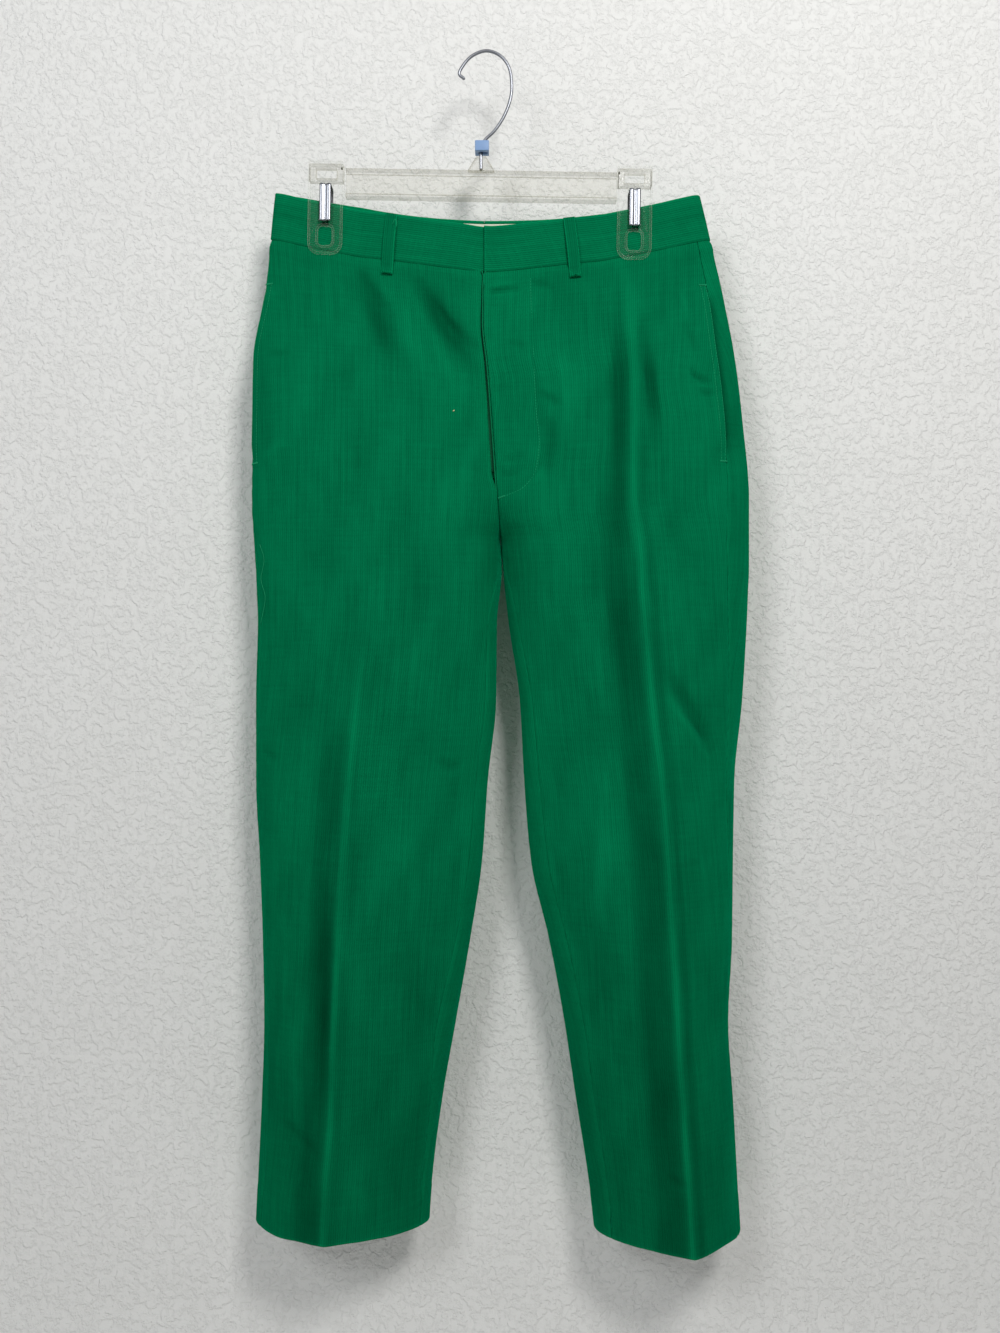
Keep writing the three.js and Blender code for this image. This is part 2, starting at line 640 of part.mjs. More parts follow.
function beltLoop({ face, side, x, lean }) {
  const bases = spread(LOOP.top, LOOP.bottom, LOOP.cells);
  const xs = (i) => {
    const middle = x + lean * (i / LOOP.cells - 0.5);
    return [middle - LOOP.width / 2, middle, middle + LOOP.width / 2];
  };
  const lift = (i) => LOOP.lift + LOOP.bow * Math.sin((Math.PI * i) / LOOP.cells) ** 2;
  const outer = bases.map((base, i) => layerRow(face, xs(i), base, -lift(i) - LOOP_WALL, side));
  const inner = bases.map((base, i) => layerRow(face, xs(i), base, -lift(i), side));
  return wallGeometry(outer, inner);
}

// One half of the waistband, from the centre back round the side fold to the centre front
function waistband(sideName) {
  const { sign, sections } = SIDES[sideName];
  const bases = [BAND_TOP, (BAND_TOP + WAIST_SEAM) / 2, WAIST_SEAM + BAND_GAP];
  const outer = [];
  const inner = [];
  bases.forEach((base) => {
    const side = sections.outer(base);
    const centre = innerX(sideName, base);
    const middle = CLIP_X[sideName];
    const half = (face) => [
      ...alongLine(densePoints(sideName, face, middle, side, base), BAND_CELLS.side).reverse(),
      ...spread(middle, centre, BAND_CELLS.middle).slice(1)
        .map((x) => [x, faceY(sideName, face, x, base)]),
    ];
    const front = half("front");
    const back = half("back");
    surfaces[sideName].front.push({ base, points: front });
    surfaces[sideName].back.push({ base, points: back });
    if (sideName === "right") {
      spread(centre, LAP.bandEnd, BAND_CELLS.lap).slice(1).forEach((x) => {
        front.push([x, surfaceY("left", "front", x, base)]);
      });
    }
    const row = [...[...back].reverse(), ...front.slice(1)];
    const normals = inwardNormals(row, null, null, -sign);
    const backCount = back.length;
    const place = ([x, y], i) => {
      const face = i < backCount ? "back" : "front";
      const sink = face === "front" && sideName === "right"
        ? LAP.bandSink * (1 - smoothStep(0, LAP.reach, centre - x)) : 0;
      return [x, y + sink, sagged(y, x, base)];
    };
    const inside = row.map(([x, y], i) => [
      x + normals[i][0] * BAND_WALL,
      y + normals[i][1] * BAND_WALL,
    ]);
    inside[0][0] = row[0][0];
    inside[row.length - 1][0] = row[row.length - 1][0];
    outer.push(row.map(place));
    inner.push(inside.map((point, i) => {
      const placed = place(row[i], i);
      return [point[0], point[1] + placed[1] - row[i][1], placed[2]];
    }));
  });
  return wallGeometry(outer, inner);
}

// Extrudes a shape drawn in x and z through the depth y, from one y to another
function slab(shape, fromY, toY) {
  const geometry = new THREE.ExtrudeGeometry(shape, {
    depth: toY - fromY, bevelEnabled: false, curveSegments: CORNER_STEPS, steps: 1,
  });
  geometry.rotateX(Math.PI / 2);
  geometry.translate(0, toY, 0);
  return geometry;
}

function roundedRectangle(Kind, left, right, bottom, top, radius, topRadius = radius) {
  const shape = new Kind();
  shape.moveTo(left + radius, bottom);
  shape.lineTo(right - radius, bottom);
  shape.absarc(right - radius, bottom + radius, radius, -Math.PI / 2, 0, false);
  shape.lineTo(right, top - topRadius);
  shape.absarc(right - topRadius, top - topRadius, topRadius, 0, Math.PI / 2, false);
  shape.lineTo(left + topRadius, top);
  shape.absarc(left + topRadius, top - topRadius, topRadius, Math.PI / 2, Math.PI, false);
  shape.lineTo(left, bottom + radius);
  shape.absarc(left + radius, bottom + radius, radius, Math.PI, Math.PI * 1.5, false);
  return shape;
}

// A clip's jaw plate: a window over the cloth and a slot for the spring
function jaw(x) {
  const half = CLIP.width / 2;
  const shape = roundedRectangle(
    THREE.Shape, x - half, x + half, CLIP.top - CLIP.length, CLIP.top, CLIP.corner, CLIP.topCorner,
  );
  const windowTop = CLIP.top - CLIP_WINDOW.below + CLIP_WINDOW.height / 2;
  shape.holes.push(roundedRectangle(
    THREE.Path, x - CLIP_WINDOW.width / 2, x + CLIP_WINDOW.width / 2,
    windowTop - CLIP_WINDOW.height, windowTop, CLIP_WINDOW.corner,
  ));
  const slotTop = CLIP.top - CLIP_SLOT.below + CLIP_SLOT.height / 2;
  shape.holes.push(roundedRectangle(
    THREE.Path, x - CLIP_SLOT.width / 2, x + CLIP_SLOT.width / 2,
    slotTop - CLIP_SLOT.height, slotTop, CLIP_SLOT.corner,
  ));
  return shape;
}

// The housing between the two jaws
function clipBlock(x) {
  const half = CLIP.width / 2;
  const top = CLIP.top - CLIP.blockDrop;
  const shape = roundedRectangle(
    THREE.Shape, x - half, x + half, top - CLIP.blockHeight, top, CLIP.blockCorner,
  );
  return slab(shape, CLIP.blockFrom, CLIP.blockTo);
}

// The spring: a bent steel strap that reaches through both jaws and presses on them
function clipSpring(x) {
  const crossing = CLIP.top - SPRING.below;
  const outer = SPRING.outer;
  const inner = outer - SPRING.wall;
  const foot = crossing - SPRING.reach;
  const profile = new THREE.Shape();
  profile.moveTo(-outer, foot);
  profile.lineTo(-outer, crossing - SPRING.bend);
  profile.absarc(-outer + SPRING.bend, crossing - SPRING.bend, SPRING.bend, Math.PI, Math.PI / 2, true);
  profile.lineTo(outer - SPRING.bend, crossing);
  profile.absarc(outer - SPRING.bend, crossing - SPRING.bend, SPRING.bend, Math.PI / 2, 0, true);
  profile.lineTo(outer, foot);
  profile.lineTo(inner, foot);
  const inside = SPRING.bend - SPRING.wall;
  profile.lineTo(inner, crossing - SPRING.bend);
  profile.absarc(inner - inside, crossing - SPRING.bend, inside, 0, Math.PI / 2, false);
  profile.lineTo(-inner + inside, crossing - SPRING.wall);
  profile.absarc(-inner + inside, crossing - SPRING.bend, inside, Math.PI / 2, Math.PI, false);
  profile.lineTo(-inner, foot);
  const geometry = new THREE.ExtrudeGeometry(profile, {
    depth: SPRING.width, bevelEnabled: false, curveSegments: SPRING.steps, steps: 1,
  });
  geometry.rotateX(Math.PI / 2);
  geometry.rotateZ(Math.PI / 2);
  geometry.translate(x - SPRING.width / 2, 0, 0);
  return geometry;
}

// I-section bar between the two clips
function hangerBar() {
  const { height, depth, web, flange, top } = BAR;
  const profile = new THREE.Shape();
  const halfDepth = depth / 2;
  const halfWeb = web / 2;
  profile.moveTo(-halfDepth, top);
  profile.lineTo(-halfDepth, top - flange);
  profile.lineTo(-halfWeb, top - flange);
  profile.lineTo(-halfWeb, top - height + flange);
  profile.lineTo(-halfDepth, top - height + flange);
  profile.lineTo(-halfDepth, top - height);
  profile.lineTo(halfDepth, top - height);
  profile.lineTo(halfDepth, top - height + flange);
  profile.lineTo(halfWeb, top - height + flange);
  profile.lineTo(halfWeb, top - flange);
  profile.lineTo(halfDepth, top - flange);
  profile.lineTo(halfDepth, top);
  const geometry = new THREE.ExtrudeGeometry(profile, {
    depth: BAR.to - BAR.from, bevelEnabled: false, steps: 1,
  });
  geometry.rotateX(Math.PI / 2);
  geometry.rotateZ(Math.PI / 2);
  geometry.translate(BAR.from, 0, 0);
  return geometry;
}

// Two splayed fins on the bar with a notch between them for the foot of the hook
function hangerNeck() {
  const foot = BAR.top + SEAM_GAP;
  const top = foot + NECK.height;
  const shape = new THREE.Shape();
  shape.moveTo(NECK.x - NECK.footWidth / 2, foot);
  shape.lineTo(NECK.x + NECK.footWidth / 2, foot);
  shape.lineTo(NECK.x + NECK.topWidth / 2, top);
  shape.lineTo(NECK.x + NECK.notch / 2, top);
  shape.lineTo(NECK.x + NECK.notch / 2, foot + NECK.floor);
  shape.lineTo(NECK.x - NECK.notch / 2, foot + NECK.floor);
  shape.lineTo(NECK.x - NECK.notch / 2, top);
  shape.lineTo(NECK.x - NECK.topWidth / 2, top);
  return slab(shape, -NECK.depth / 2, NECK.depth / 2);
}

// The wire hook, from its bent-back tip over the top and down to its foot
function hangerHook() {
  const radius = WIRE.diameter / 2;
  const route = [
    [-23.5, -27.0], [-28.2, -22.5], [-23.8, -13.0], [-14.5, -3.4], [0, radius], [13.5, -2.9],
    [22.5, -13.6], [25.9, -29.0], [25.2, -46.0], [19.0, -64.5], [8.5, -81.0], [-1.6, -91.0],
    [-5.0, -97.5], [NECK.x, -106.0], [NECK.x, BAR.top + SEAM_GAP + NECK.floor + SEAM_GAP],
  ].map(([x, z]) => new THREE.Vector3(x, 0, z));
  const path = new THREE.CatmullRomCurve3(route, false, "centripetal");
  const section = new THREE.Shape();
  section.absarc(0, 0, radius, 0, Math.PI * 2, false);
  return new THREE.ExtrudeGeometry(section, {
    steps: WIRE.steps, bevelEnabled: false, extrudePath: path, curveSegments: WIRE.sides / 2,
  });
}

// Square sizer on the hook's foot, with an oval hole for the wire
function hangerSizer() {
  const shape = new THREE.Shape();
  const half = SIZER.width / 2;
  shape.moveTo(SIZER.x - half, -SIZER.depth / 2);
  shape.lineTo(SIZER.x + half, -SIZER.depth / 2);
  shape.lineTo(SIZER.x + half, SIZER.depth / 2);
  shape.lineTo(SIZER.x - half, SIZER.depth / 2);
  const hole = new THREE.Path();
  hole.absellipse(SIZER.holeX, 0, ...SIZER.hole, 0, Math.PI * 2, true, 0);
  shape.holes.push(hole);
  const geometry = new THREE.ExtrudeGeometry(shape, {
    depth: SIZER.height, bevelEnabled: false, curveSegments: SIZER.holeSteps, steps: 1,
  });
  geometry.translate(0, 0, SIZER.top - SIZER.height);
  return geometry;
}

// The slider is a small plate on the tape, right under the lap
function zipSlider() {
  const { x, z, width, height, layer, wall } = ZIP_SLIDER;
  const base = z + SAG.front.depth;
  const xs = spread(x - width / 2, x + width / 2, 2);
  const bases = spread(base + height / 2, base - height / 2, 2);
  return stripGeometry("front", () => xs, bases, layer, wall, "left");
}

// Strip along the fly that starts and ends at distances from the left front's centre edge
function flyStrip({ from, to, top, bottom, layer, wall, cells }) {
  const xsAt = (base) => spread(innerX("left", base) + from, innerX("left", base) + to, cells);
  return stripGeometry("front", xsAt, spread(top, bottom, FLY_ROWS), layer, wall);
}

// Facing inside the back of the waistband: it has the waistband's own columns between the clips
function waistbandFacing() {
  const columns = ["right", "left"]
    .flatMap((sideName) => surfaces[sideName].back[0].points.map((point) => point[0]))
    .filter((x) => x > FACING.from && x < FACING.to)
    .sort((a, b) => a - b)
    .filter((x, i, all) => i === 0 || x - all[i - 1] > 1);
  const bases = spread(FACING.top, FACING.bottom, FACING.rows);
  return stripGeometry("back", () => columns, bases, FACING.layer, FACING_WALL);
}

// Facing behind a side pocket's opening, beside the outseam
function pocketFacing(sideName) {
  const { sign, sections } = SIDES[sideName];
  const xsAt = (base) => {
    const edge = sections.outer(base) - sign * sections.outseamIn(base);
    return spread(edge - sign * POCKET.from, edge - sign * POCKET.to, POCKET.cells);
  };
  const bases = spread(POCKET.top, POCKET.bottom, POCKET.rows);
  return stripGeometry("front", xsAt, bases, POCKET.layer, FACING_WALL, sideName);
}

function mesh(name, geometry, material) {
  const result = new THREE.Mesh(geometry, material);
  result.name = name;
  return result;
}

const group = new THREE.Group();

["left", "right"].forEach((sideName) => {
  group.add(mesh(`waistband_${sideName}`, waistband(sideName), MATERIALS.corduroy));
  const grids = halfPanels(sideName);
  group.add(mesh(`front_${sideName}`, wallGeometry(...grids.front), MATERIALS.corduroy));
  group.add(mesh(`back_${sideName}`, wallGeometry(...grids.back), MATERIALS.corduroy));
});

Object.entries(LOOPS).forEach(([name, place]) => {
  group.add(mesh(name, beltLoop(place), MATERIALS.corduroy));
});

const centreBack = { face: "back", side: null, x: innerX("right", WAIST_SEAM) + HALF_GAP, lean: 0 };
group.add(mesh("belt_loop_back_centre", beltLoop(centreBack), MATERIALS.corduroy));
group.add(mesh("waistband_facing", waistbandFacing(), MATERIALS.facing));
group.add(mesh("fly_shield", flyStrip(FLY_SHIELD), MATERIALS.corduroy));
group.add(mesh("zip_tape", flyStrip(ZIP_TAPE), MATERIALS.tape));
group.add(mesh("zip_slider", zipSlider(), MATERIALS.brass));

["right", "left"].forEach((sideName) => {
  const name = `pocket_facing_${sideName}`;
  group.add(mesh(name, pocketFacing(sideName), MATERIALS.corduroy));
});

// The rigid hanger turns as one about the middle of its bar
const hanger = new THREE.Group();
const middle = new THREE.Vector3(HANGER_X, 0, BAR.top);
const turnedMiddle = middle.clone().applyAxisAngle(new THREE.Vector3(0, 1, 0), HANGER_TILT);
hanger.rotation.y = HANGER_TILT;
hanger.position.copy(middle).sub(turnedMiddle);
hanger.add(mesh("hanger_bar", hangerBar(), MATERIALS.clear));
hanger.add(mesh("hanger_neck", hangerNeck(), MATERIALS.clear));
["right", "left"].forEach((sideName) => {
  const x = CLIP_X[sideName];
  const far = CLIP.face + CLIP.wall;
  const frontJaw = slab(jaw(x), -far, -CLIP.face);
  const backJaw = slab(jaw(x), CLIP.face, far);
  hanger.add(mesh(`clip_front_jaw_${sideName}`, frontJaw, MATERIALS.clear));
  hanger.add(mesh(`clip_back_jaw_${sideName}`, backJaw, MATERIALS.clear));
  hanger.add(mesh(`clip_housing_${sideName}`, clipBlock(x), MATERIALS.clear));
  hanger.add(mesh(`clip_spring_${sideName}`, clipSpring(x), MATERIALS.steel));
});
group.add(hanger);

group.add(mesh("hanger_hook", hangerHook(), MATERIALS.steel));
group.add(mesh("hanger_sizer", hangerSizer(), MATERIALS.blue));

export default group;
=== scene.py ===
"""Corduroy trousers on a clear clip hanger: cloth, sewing, zip, hanger, stage and camera."""

import math

import bmesh
import bpy
import numpy as np
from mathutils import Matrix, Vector


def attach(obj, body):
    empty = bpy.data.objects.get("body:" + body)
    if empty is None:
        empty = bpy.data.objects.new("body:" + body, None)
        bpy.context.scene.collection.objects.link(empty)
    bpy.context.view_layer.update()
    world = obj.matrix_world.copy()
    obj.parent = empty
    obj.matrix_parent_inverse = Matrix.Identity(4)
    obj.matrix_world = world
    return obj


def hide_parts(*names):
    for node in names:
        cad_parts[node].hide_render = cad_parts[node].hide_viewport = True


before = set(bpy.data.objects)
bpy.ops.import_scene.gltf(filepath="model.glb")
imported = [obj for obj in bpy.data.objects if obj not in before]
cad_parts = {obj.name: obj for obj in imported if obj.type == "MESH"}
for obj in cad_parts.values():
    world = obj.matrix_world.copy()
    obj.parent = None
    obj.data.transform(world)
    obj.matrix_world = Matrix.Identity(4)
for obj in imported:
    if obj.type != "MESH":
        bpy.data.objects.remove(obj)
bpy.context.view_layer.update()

bl_info = {
    "name": "Corduroy Trousers on a Clip Hanger",
    "version": (1, 0, 0),
    "blender": (4, 5, 0),
    "location": "View3D > Sidebar > Trousers",
    "description": "Builds corduroy trousers, their sewing and the hanger that holds them",
    "category": "Add Mesh",
}

BODY = "root"
MM = 0.001

# Cloth sizes, in millimetres like all sizes below
SEAM_GAP = 0.3
HALF_GAP = SEAM_GAP / 2
BAND_GAP = 0.5
HEM_TURN_UP = 40.0
ROW_STEP = 3.2
COLUMN_STEP = 2.5
TURNING = 3.5

# Heights, at the side of the garment, before the waist sags
BAND_TOP = -143.5
WAIST_SEAM = -194.0
FORK = -464.0
INSEAM_TOP = -511.0
HEM = {"right": -1210.0, "left": -1218.0}

# Sag of the waist between the side folds and the centre, front and back
SAG = {
    "front": {"depth": 39.5, "centre": 5.0, "power": 1.3},
    "back": {"depth": 25.3, "centre": 24.0, "power": 2.2},
}
SAG_HALF_WIDTH = 236.0
SAG_EVENS = 6
SAG_FADE = 1.5
SAG_ENDS = -452.0
SAG_BAND_EXTRA = 0.06

# Sections of the wearer's right half, which hangs on the -X side
SECTION_COLUMNS = (
    "z", "outer", "crease", "inner", "front_y", "back_crease", "back_y", "outseam_in", "inseam_in",
)
RIGHT_SECTIONS = (
    (-145, -219.0, -128, -2.5, -8, -110, 7, 0.5, 0),
    (-195, -224.0, -126, -2.5, -10, -108, 9, 0.5, 0),
    (-257, -230.5, -122, -3.0, -20, -106, 20, 0.5, 0),
    (-319, -240.5, -118, 2.0, -30, -106, 30, 0.5, 0),
    (-381, -241.5, -117, 6.0, -37, -107, 38, 0.5, 0),
    (-464, -243.0, -117, 11.5, -42, -108, 44, 1.5, 0),
    (-511, -240.5, -118, 15.0, -44, -110, 45, 3.5, 0),
    (-536, -239.0, -118, 16.0, -44, -111, 45, 4.5, 3),
    (-560, -238.0, -118, 14.0, -45, -112, 45, 5.0, 6),
    (-588, -237.0, -119, 11.0, -45, -113, 45, 5.5, 9),
    (-672, -239.0, -127, 10.0, -45, -116, 44, 5.0, 11),
    (-754, -239.0, -135, 1.5, -46, -121, 44, 4.0, 12),
    (-837, -235.0, -141, -4.5, -47, -123, 44, 4.0, 13),
    (-920, -232.0, -146, -17.0, -48, -127, 45, 5.0, 15),
    (-1003, -230.5, -150, -31.5, -50, -133, 46, 6.0, 19),
    (-1086, -233.0, -152, -46.0, -52, -140, 47, 8.0, 11),
    (-1169, -237.0, -158, -56.5, -54, -147, 48, 9.0, 9),
    (-1220, -239.5, -160, -60.0, -54, -150, 48, 7.0, 8),
)

# Sections of the wearer's left half, which hangs on the +X side
LEFT_SECTIONS = (
    (-145, 221.5, 148, -2.5, -8, 112, 7, 13.0, 0),
    (-195, 232.5, 150, -2.5, -10, 114, 9, 14.5, 0),
    (-257, 246.0, 149, -3.0, -20, 120, 20, 16.5, 0),
    (-319, 257.5, 148, 2.0, -30, 125, 30, 22.0, 0),
    (-381, 265.0, 149, 6.0, -37, 130, 38, 23.0, 0),
    (-464, 272.0, 149, 11.5, -42, 138, 44, 27.0, 0),
    (-511, 272.0, 155, 15.0, -44, 142, 46, 28.0, 0),
    (-536, 272.0, 157, 17.0, -45, 144, 46, 27.0, 3),
    (-560, 271.0, 158, 19.5, -46, 145, 46, 26.0, 6),
    (-588, 270.0, 160, 22.5, -46, 147, 46, 24.0, 9),
    (-672, 265.0, 167, 34.5, -47, 150, 45, 18.0, 12),
    (-754, 257.0, 176, 39.0, -48, 150, 45, 12.0, 15),
    (-837, 255.5, 183, 46.0, -50, 153, 45, 7.0, 17),
    (-920, 254.5, 188, 65.0, -52, 161, 46, 4.0, 18),
    (-1003, 250.5, 192, 80.5, -54, 166, 47, 3.0, 19),
    (-1086, 255.5, 197, 93.0, -57, 175, 48, 3.0, 18),
    (-1169, 260.0, 203, 106.0, -60, 184, 50, 4.0, 18),
    (-1220, 263.0, 205, 112.0, -61, 188, 50, 6.0, 15),
)

# How far forward or back the centre seam lies, from the waist under the crotch to the inseams
RISE_COLUMNS = ("z", "front_y", "back_y", "inner_y")
RISE = (
    (-145, -13, 12, 0),
    (-195, -15, 14, 0),
    (-257, -20, 22, 0),
    (-319, -25, 30, 0),
    (-381, -30, 36, 0),
    (-430, -33, 35, 0),
    (-464, -34, 28, 0),
    (-488, -24, 16, 0),
    (-511, 0, 0, 0),
    (-600, 0, 0, 1),
    (-1220, 0, 0, 2),
)

# Roundness of a section: p at the crease (1 is a sharp fold), q at the side (2 is round)
ROUND_COLUMNS = ("z", "p_out", "q_out", "p_front", "q_front", "p_back", "q_back")
ROUND = (
    (-145, 2.2, 2.2, 2.0, 1.0, 2.0, 1.0),
    (-195, 2.2, 2.2, 2.0, 1.0, 2.0, 1.0),
    (-319, 1.8, 2.1, 2.0, 1.0, 2.0, 1.0),
    (-400, 1.6, 2.0, 2.2, 1.0, 2.4, 1.2),
    (-464, 1.5, 2.0, 3.4, 1.5, 3.6, 1.9),
    (-511, 1.4, 2.0, 4.0, 2.0, 4.0, 2.0),
    (-560, 1.35, 2.0, 2.6, 2.0, 2.6, 2.0),
    (-640, 1.3, 1.9, 1.6, 1.9, 1.6, 1.9),
    (-760, 1.25, 1.9, 1.25, 1.9, 1.25, 1.9),
    (-1220, 1.15, 1.85, 1.15, 1.85, 1.15, 1.85),
)

# Waist held flat in the clips and open between them: distances forward and back of the hanger
WAIST_COLUMNS = ("to_clip", "front_y", "back_y")
CLIP_X = {"right": -165.5, "left": 153.5}
CLIP_GRIP = 4.0
SIDE_FOLD = {"depth": 3.9, "reach": 14.0}
WAIST = (
    (-60, -5.2, 5.2),
    (-40, -5.0, 5.0),
    (-25, -CLIP_GRIP, CLIP_GRIP),
    (30, -CLIP_GRIP, CLIP_GRIP),
    (58, -8.5, 7.0),
    (100, -13.0, 10.5),
    (165, -15.0, 13.0),
)
WAIST_FLAT_TO = -214.0
WAIST_FADES = -335.0

# Main folds, each a soft ridge (height over 0) or trough from one point to another
# Columns: x0, z0, x1, z1, width, height
MAIN_FOLDS = {
    "front": (
        (-134, -225, -88, -345, 12, -5.5),
        (-80, -225, -6, -350, 12, -6.0),
        (-108, -225, -60, -350, 11, 4.0),
        (148, -212, 147, -560, 6, 4.5),
        (136, -225, 132, -525, 8, -6.5),
        (158, -262, 172, -430, 7, -5.0),
        (122, -530, 145, -700, 14, -2.0),
        (174, -633, 232, -722, 7, -4.0),
        (178, -662, 224, -732, 6, 4.0),
        (126, -715, 108, -905, 12, 3.0),
        (-160, -830, -162, -1090, 10, -4.0),
        (76, -310, 84, -385, 8, 2.0),
    ),
    "back": (
        (-120, -225, -70, -350, 14, -4.0),
        (110, -225, 60, -350, 14, -4.0),
        (-30, -470, -95, -560, 14, 4.0),
        (40, -470, 105, -565, 14, 4.0),
        (-190, -760, -110, -800, 12, -3.5),
        (205, -740, 130, -790, 12, -3.5),
    ),
}

# Small creases, each bent through three points
# Columns: x0, z0, x1, z1, x2, z2, width, height
SMALL_CREASES = {
    "front": (
        (-136, -226, -117, -250, -95, -284, 6.2, -2.7),
        (-56, -266, -27, -297, -2, -314, 6.2, -2.8),
        (-92, -234, -56, -298, -34, -360, 7.5, 2.3),
        (-72, -240, -46, -276, -20, -330, 5.0, -1.9),
        (-228, -430, -218, -420, -202, -409, 5.0, 2.1),
        (-226, -314, -212, -318, -199, -314, 4.4, -1.7),
        (1, -256, 15, -252, 37, -250, 2.5, -2.8),
        (1, -250, 15, -246, 36, -244, 3.0, 1.7),
        (47, -247, 57, -245, 72, -252, 3.8, -2.3),
        (14, -311, 28, -308, 43, -314, 3.2, -1.5),
        (51, -358, 63, -366, 75, -375, 3.8, -2.5),
        (75, -314, 77, -359, 81, -401, 5.0, 2.8),
        (63, -384, 65, -414, 58, -446, 6.2, -3.8),
        (160, -320, 167, -359, 174, -395, 5.0, -2.5),
        (207, -333, 215, -344, 234, -347, 3.2, -3.2),
        (214, -357, 224, -360, 235, -359, 3.0, -2.4),
        (194, -250, 203, -262, 207, -300, 4.0, 1.8),
        (203, -282, 210, -301, 214, -320, 3.8, -1.9),
        (45, -236, 48, -323, 52.8, -412, 2.6, -1.3),
        (52.8, -404, 51.5, -440, 14, -467, 2.6, -1.6),
        (41, -238, 44, -323, 48.5, -412, 2.6, 0.7),
        (14, -425, 26, -428, 41, -421, 3.2, -1.7),
        (13, -440, 24, -444, 38, -435, 3.2, -1.7),
        (-49, -726, -36, -739, -22, -729, 4.0, -2.1),
        (-230, -721, -221, -727, -210, -730, 4.0, -1.9),
        (-210, -1092, -190, -1104, -167, -1117, 5.0, -2.1),
        (196, -680, 212, -700, 226, -719, 3.4, -3.2),
        (215, -709, 225, -722, 235, -711, 3.8, -2.3),
        (177, -1137, 188, -1144, 201, -1148, 3.8, -1.5),
        (122, -708, 115, -790, 103, -896, 5.0, 1.9),
    ),
    "back": (
        (-150, -232, -128, -262, -112, -300, 6.2, -2.7),
        (60, -262, 34, -296, 12, -322, 6.2, -2.7),
        (104, -238, 76, -290, 50, -352, 7.5, 2.3),
        (-60, -476, -92, -500, -132, -512, 6.2, -2.8),
        (66, -480, 102, -508, 146, -520, 6.2, -3.0),
        (-42, -520, -70, -556, -108, -584, 6.2, 2.3),
        (52, -524, 84, -566, 120, -588, 6.2, 2.3),
        (-214, -742, -176, -770, -128, -776, 5.0, -2.5),
        (226, -728, 190, -762, 140, -770, 5.0, -2.5),
        (-80, -760, -62, -772, -44, -764, 4.0, -1.9),
        (176, -1100, 198, -1112, 224, -1116, 5.0, -1.9),
        (-206, -1078, -180, -1092, -150, -1090, 5.0, -1.9),
    ),
}

# Slight swells all over the cloth: wavelength across and down, phase and height
SWELLS = (
    (96.0, 210.0, 0.4, 1.1),
    (-71.0, 133.0, 1.9, 0.75),
    (54.0, -88.0, 3.1, 0.5),
    (-39.0, 61.0, 5.0, 0.28),
    (27.0, 44.0, 2.2, 0.16),
)

# Creases: painted shade in a band beside the crease, on the side turned from the light, a painted highlight as
# a pale line on the fold, and a thin painted shade past it
CREASE_SHADE_AND_HIGHLIGHT = {
    "right": {
        "dark_at": -20.0, "band": 15.0, "dark": 0.29, "from": -560.0, "full": -760.0,
        "line": 0.60, "line_at": 2.2, "line_reach": 3.0, "other": 0.10, "other_at": 8.0, "other_reach": 5.0,
    },
    "left": {
        "dark_at": 22.0, "band": 17.0, "dark": 0.37, "from": -330.0, "full": -560.0,
        "line": 0.62, "line_at": 2.2, "line_reach": 3.0, "other": 0.26, "other_at": 8.0, "other_reach": 5.0,
    },
}

# Painted shade in the troughs of folds and painted highlight on their ridges: shade for each millimetre of a
# fold, its limits, and a darker lower leg
FOLD_SHADE = {"share": 0.080, "dark": 0.46, "pale": 0.22, "low": 0.20, "from": -760.0, "full": -1120.0}

# Relief of a panel: dips and puckers at its seams, the stitched and doubled hem, and the ease below the band
SEAM_RELIEF = {"dips": (0.5, 0.15), "dip_reach": 1.6, "pucker": 0.28, "reach": 8.0, "from": 2.5}
HEM_RELIEF = {"stitch": 0.35, "stitch_reach": 1.6, "swell": 0.25, "doubled": 1.3}
BAND_RELIEF = {"dip": 1.0, "ease_at": 8.0, "ease_reach": 6.0}

# Wear of a panel: paler along its seams and its hem; and painted shadow, darker on the body behind a pocket's
# edge
EDGE_WEAR = {
    "outseam": 0.22, "outseam_reach": 2.2, "inseam": 0.16, "inseam_reach": 7.0, "hem": 0.30, "hem_reach": 3.0,
}
POCKET_SHADE = {"near": 0.50, "near_reach": 4.5, "wide": 0.16, "wide_reach": 26.0, "ends": 30.0}

# Folds fade towards a seam, and more towards the doubled cloth of the fly
SEAM_STIFF = 12.0
FLY_STIFF = 38.0

# The lap of the fly: the right edge sinks behind the left one, and stands back from it
LAP = {"sink": 2.2, "band_sink": 3.6, "reach": 26.0, "band_end": 35.0}
LAP_GAP_COLUMNS = ("z", "gap")
LAP_GAP = (
    (-195, 1.0),
    (-235, 2.4),
    (-380, 3.6),
    (-440, 4.0),
    (-464, 0),
    (-511, 0),
)

# Strips behind the lap, from one distance to another from the centre
FLY_SHIELD = {"from": -12.0, "to": 36.0, "layer": 6.0, "wall": 1.4, "top": -199.0, "bottom": -446.0}
ZIP_TAPE = {"from": -9.0, "to": 17.0, "layer": 4.4, "wall": 0.9, "top": -199.0, "bottom": -440.0}
ZIP_SLIDER = {"x": 2.8, "z": -245.0, "width": 8.5, "height": 13.0, "layer": 2.1, "wall": 1.6}

# Waistband and belt loops, each loop with its face, side, x at its middle and lean
BAND = {"rows": 24, "column_step": 2.2, "wall": 3.0, "crown": 0.25}
LOOP = {"width": 12.0, "top": -143.9, "bottom": -210.3, "lift": 0.5, "bow": 2.4, "wall": 2.4}
LOOPS = {
    "belt_loop_front_right": ("front", "right", -99.5, -5.0),
    "belt_loop_front_left": ("front", "left", 88.0, 7.0),
    "belt_loop_back_right": ("back", "right", -118.0, 2.0),
    "belt_loop_back_left": ("back", "left", 112.0, -3.0),
    "belt_loop_back_centre": ("back", None, -2.5, 0.0),
}

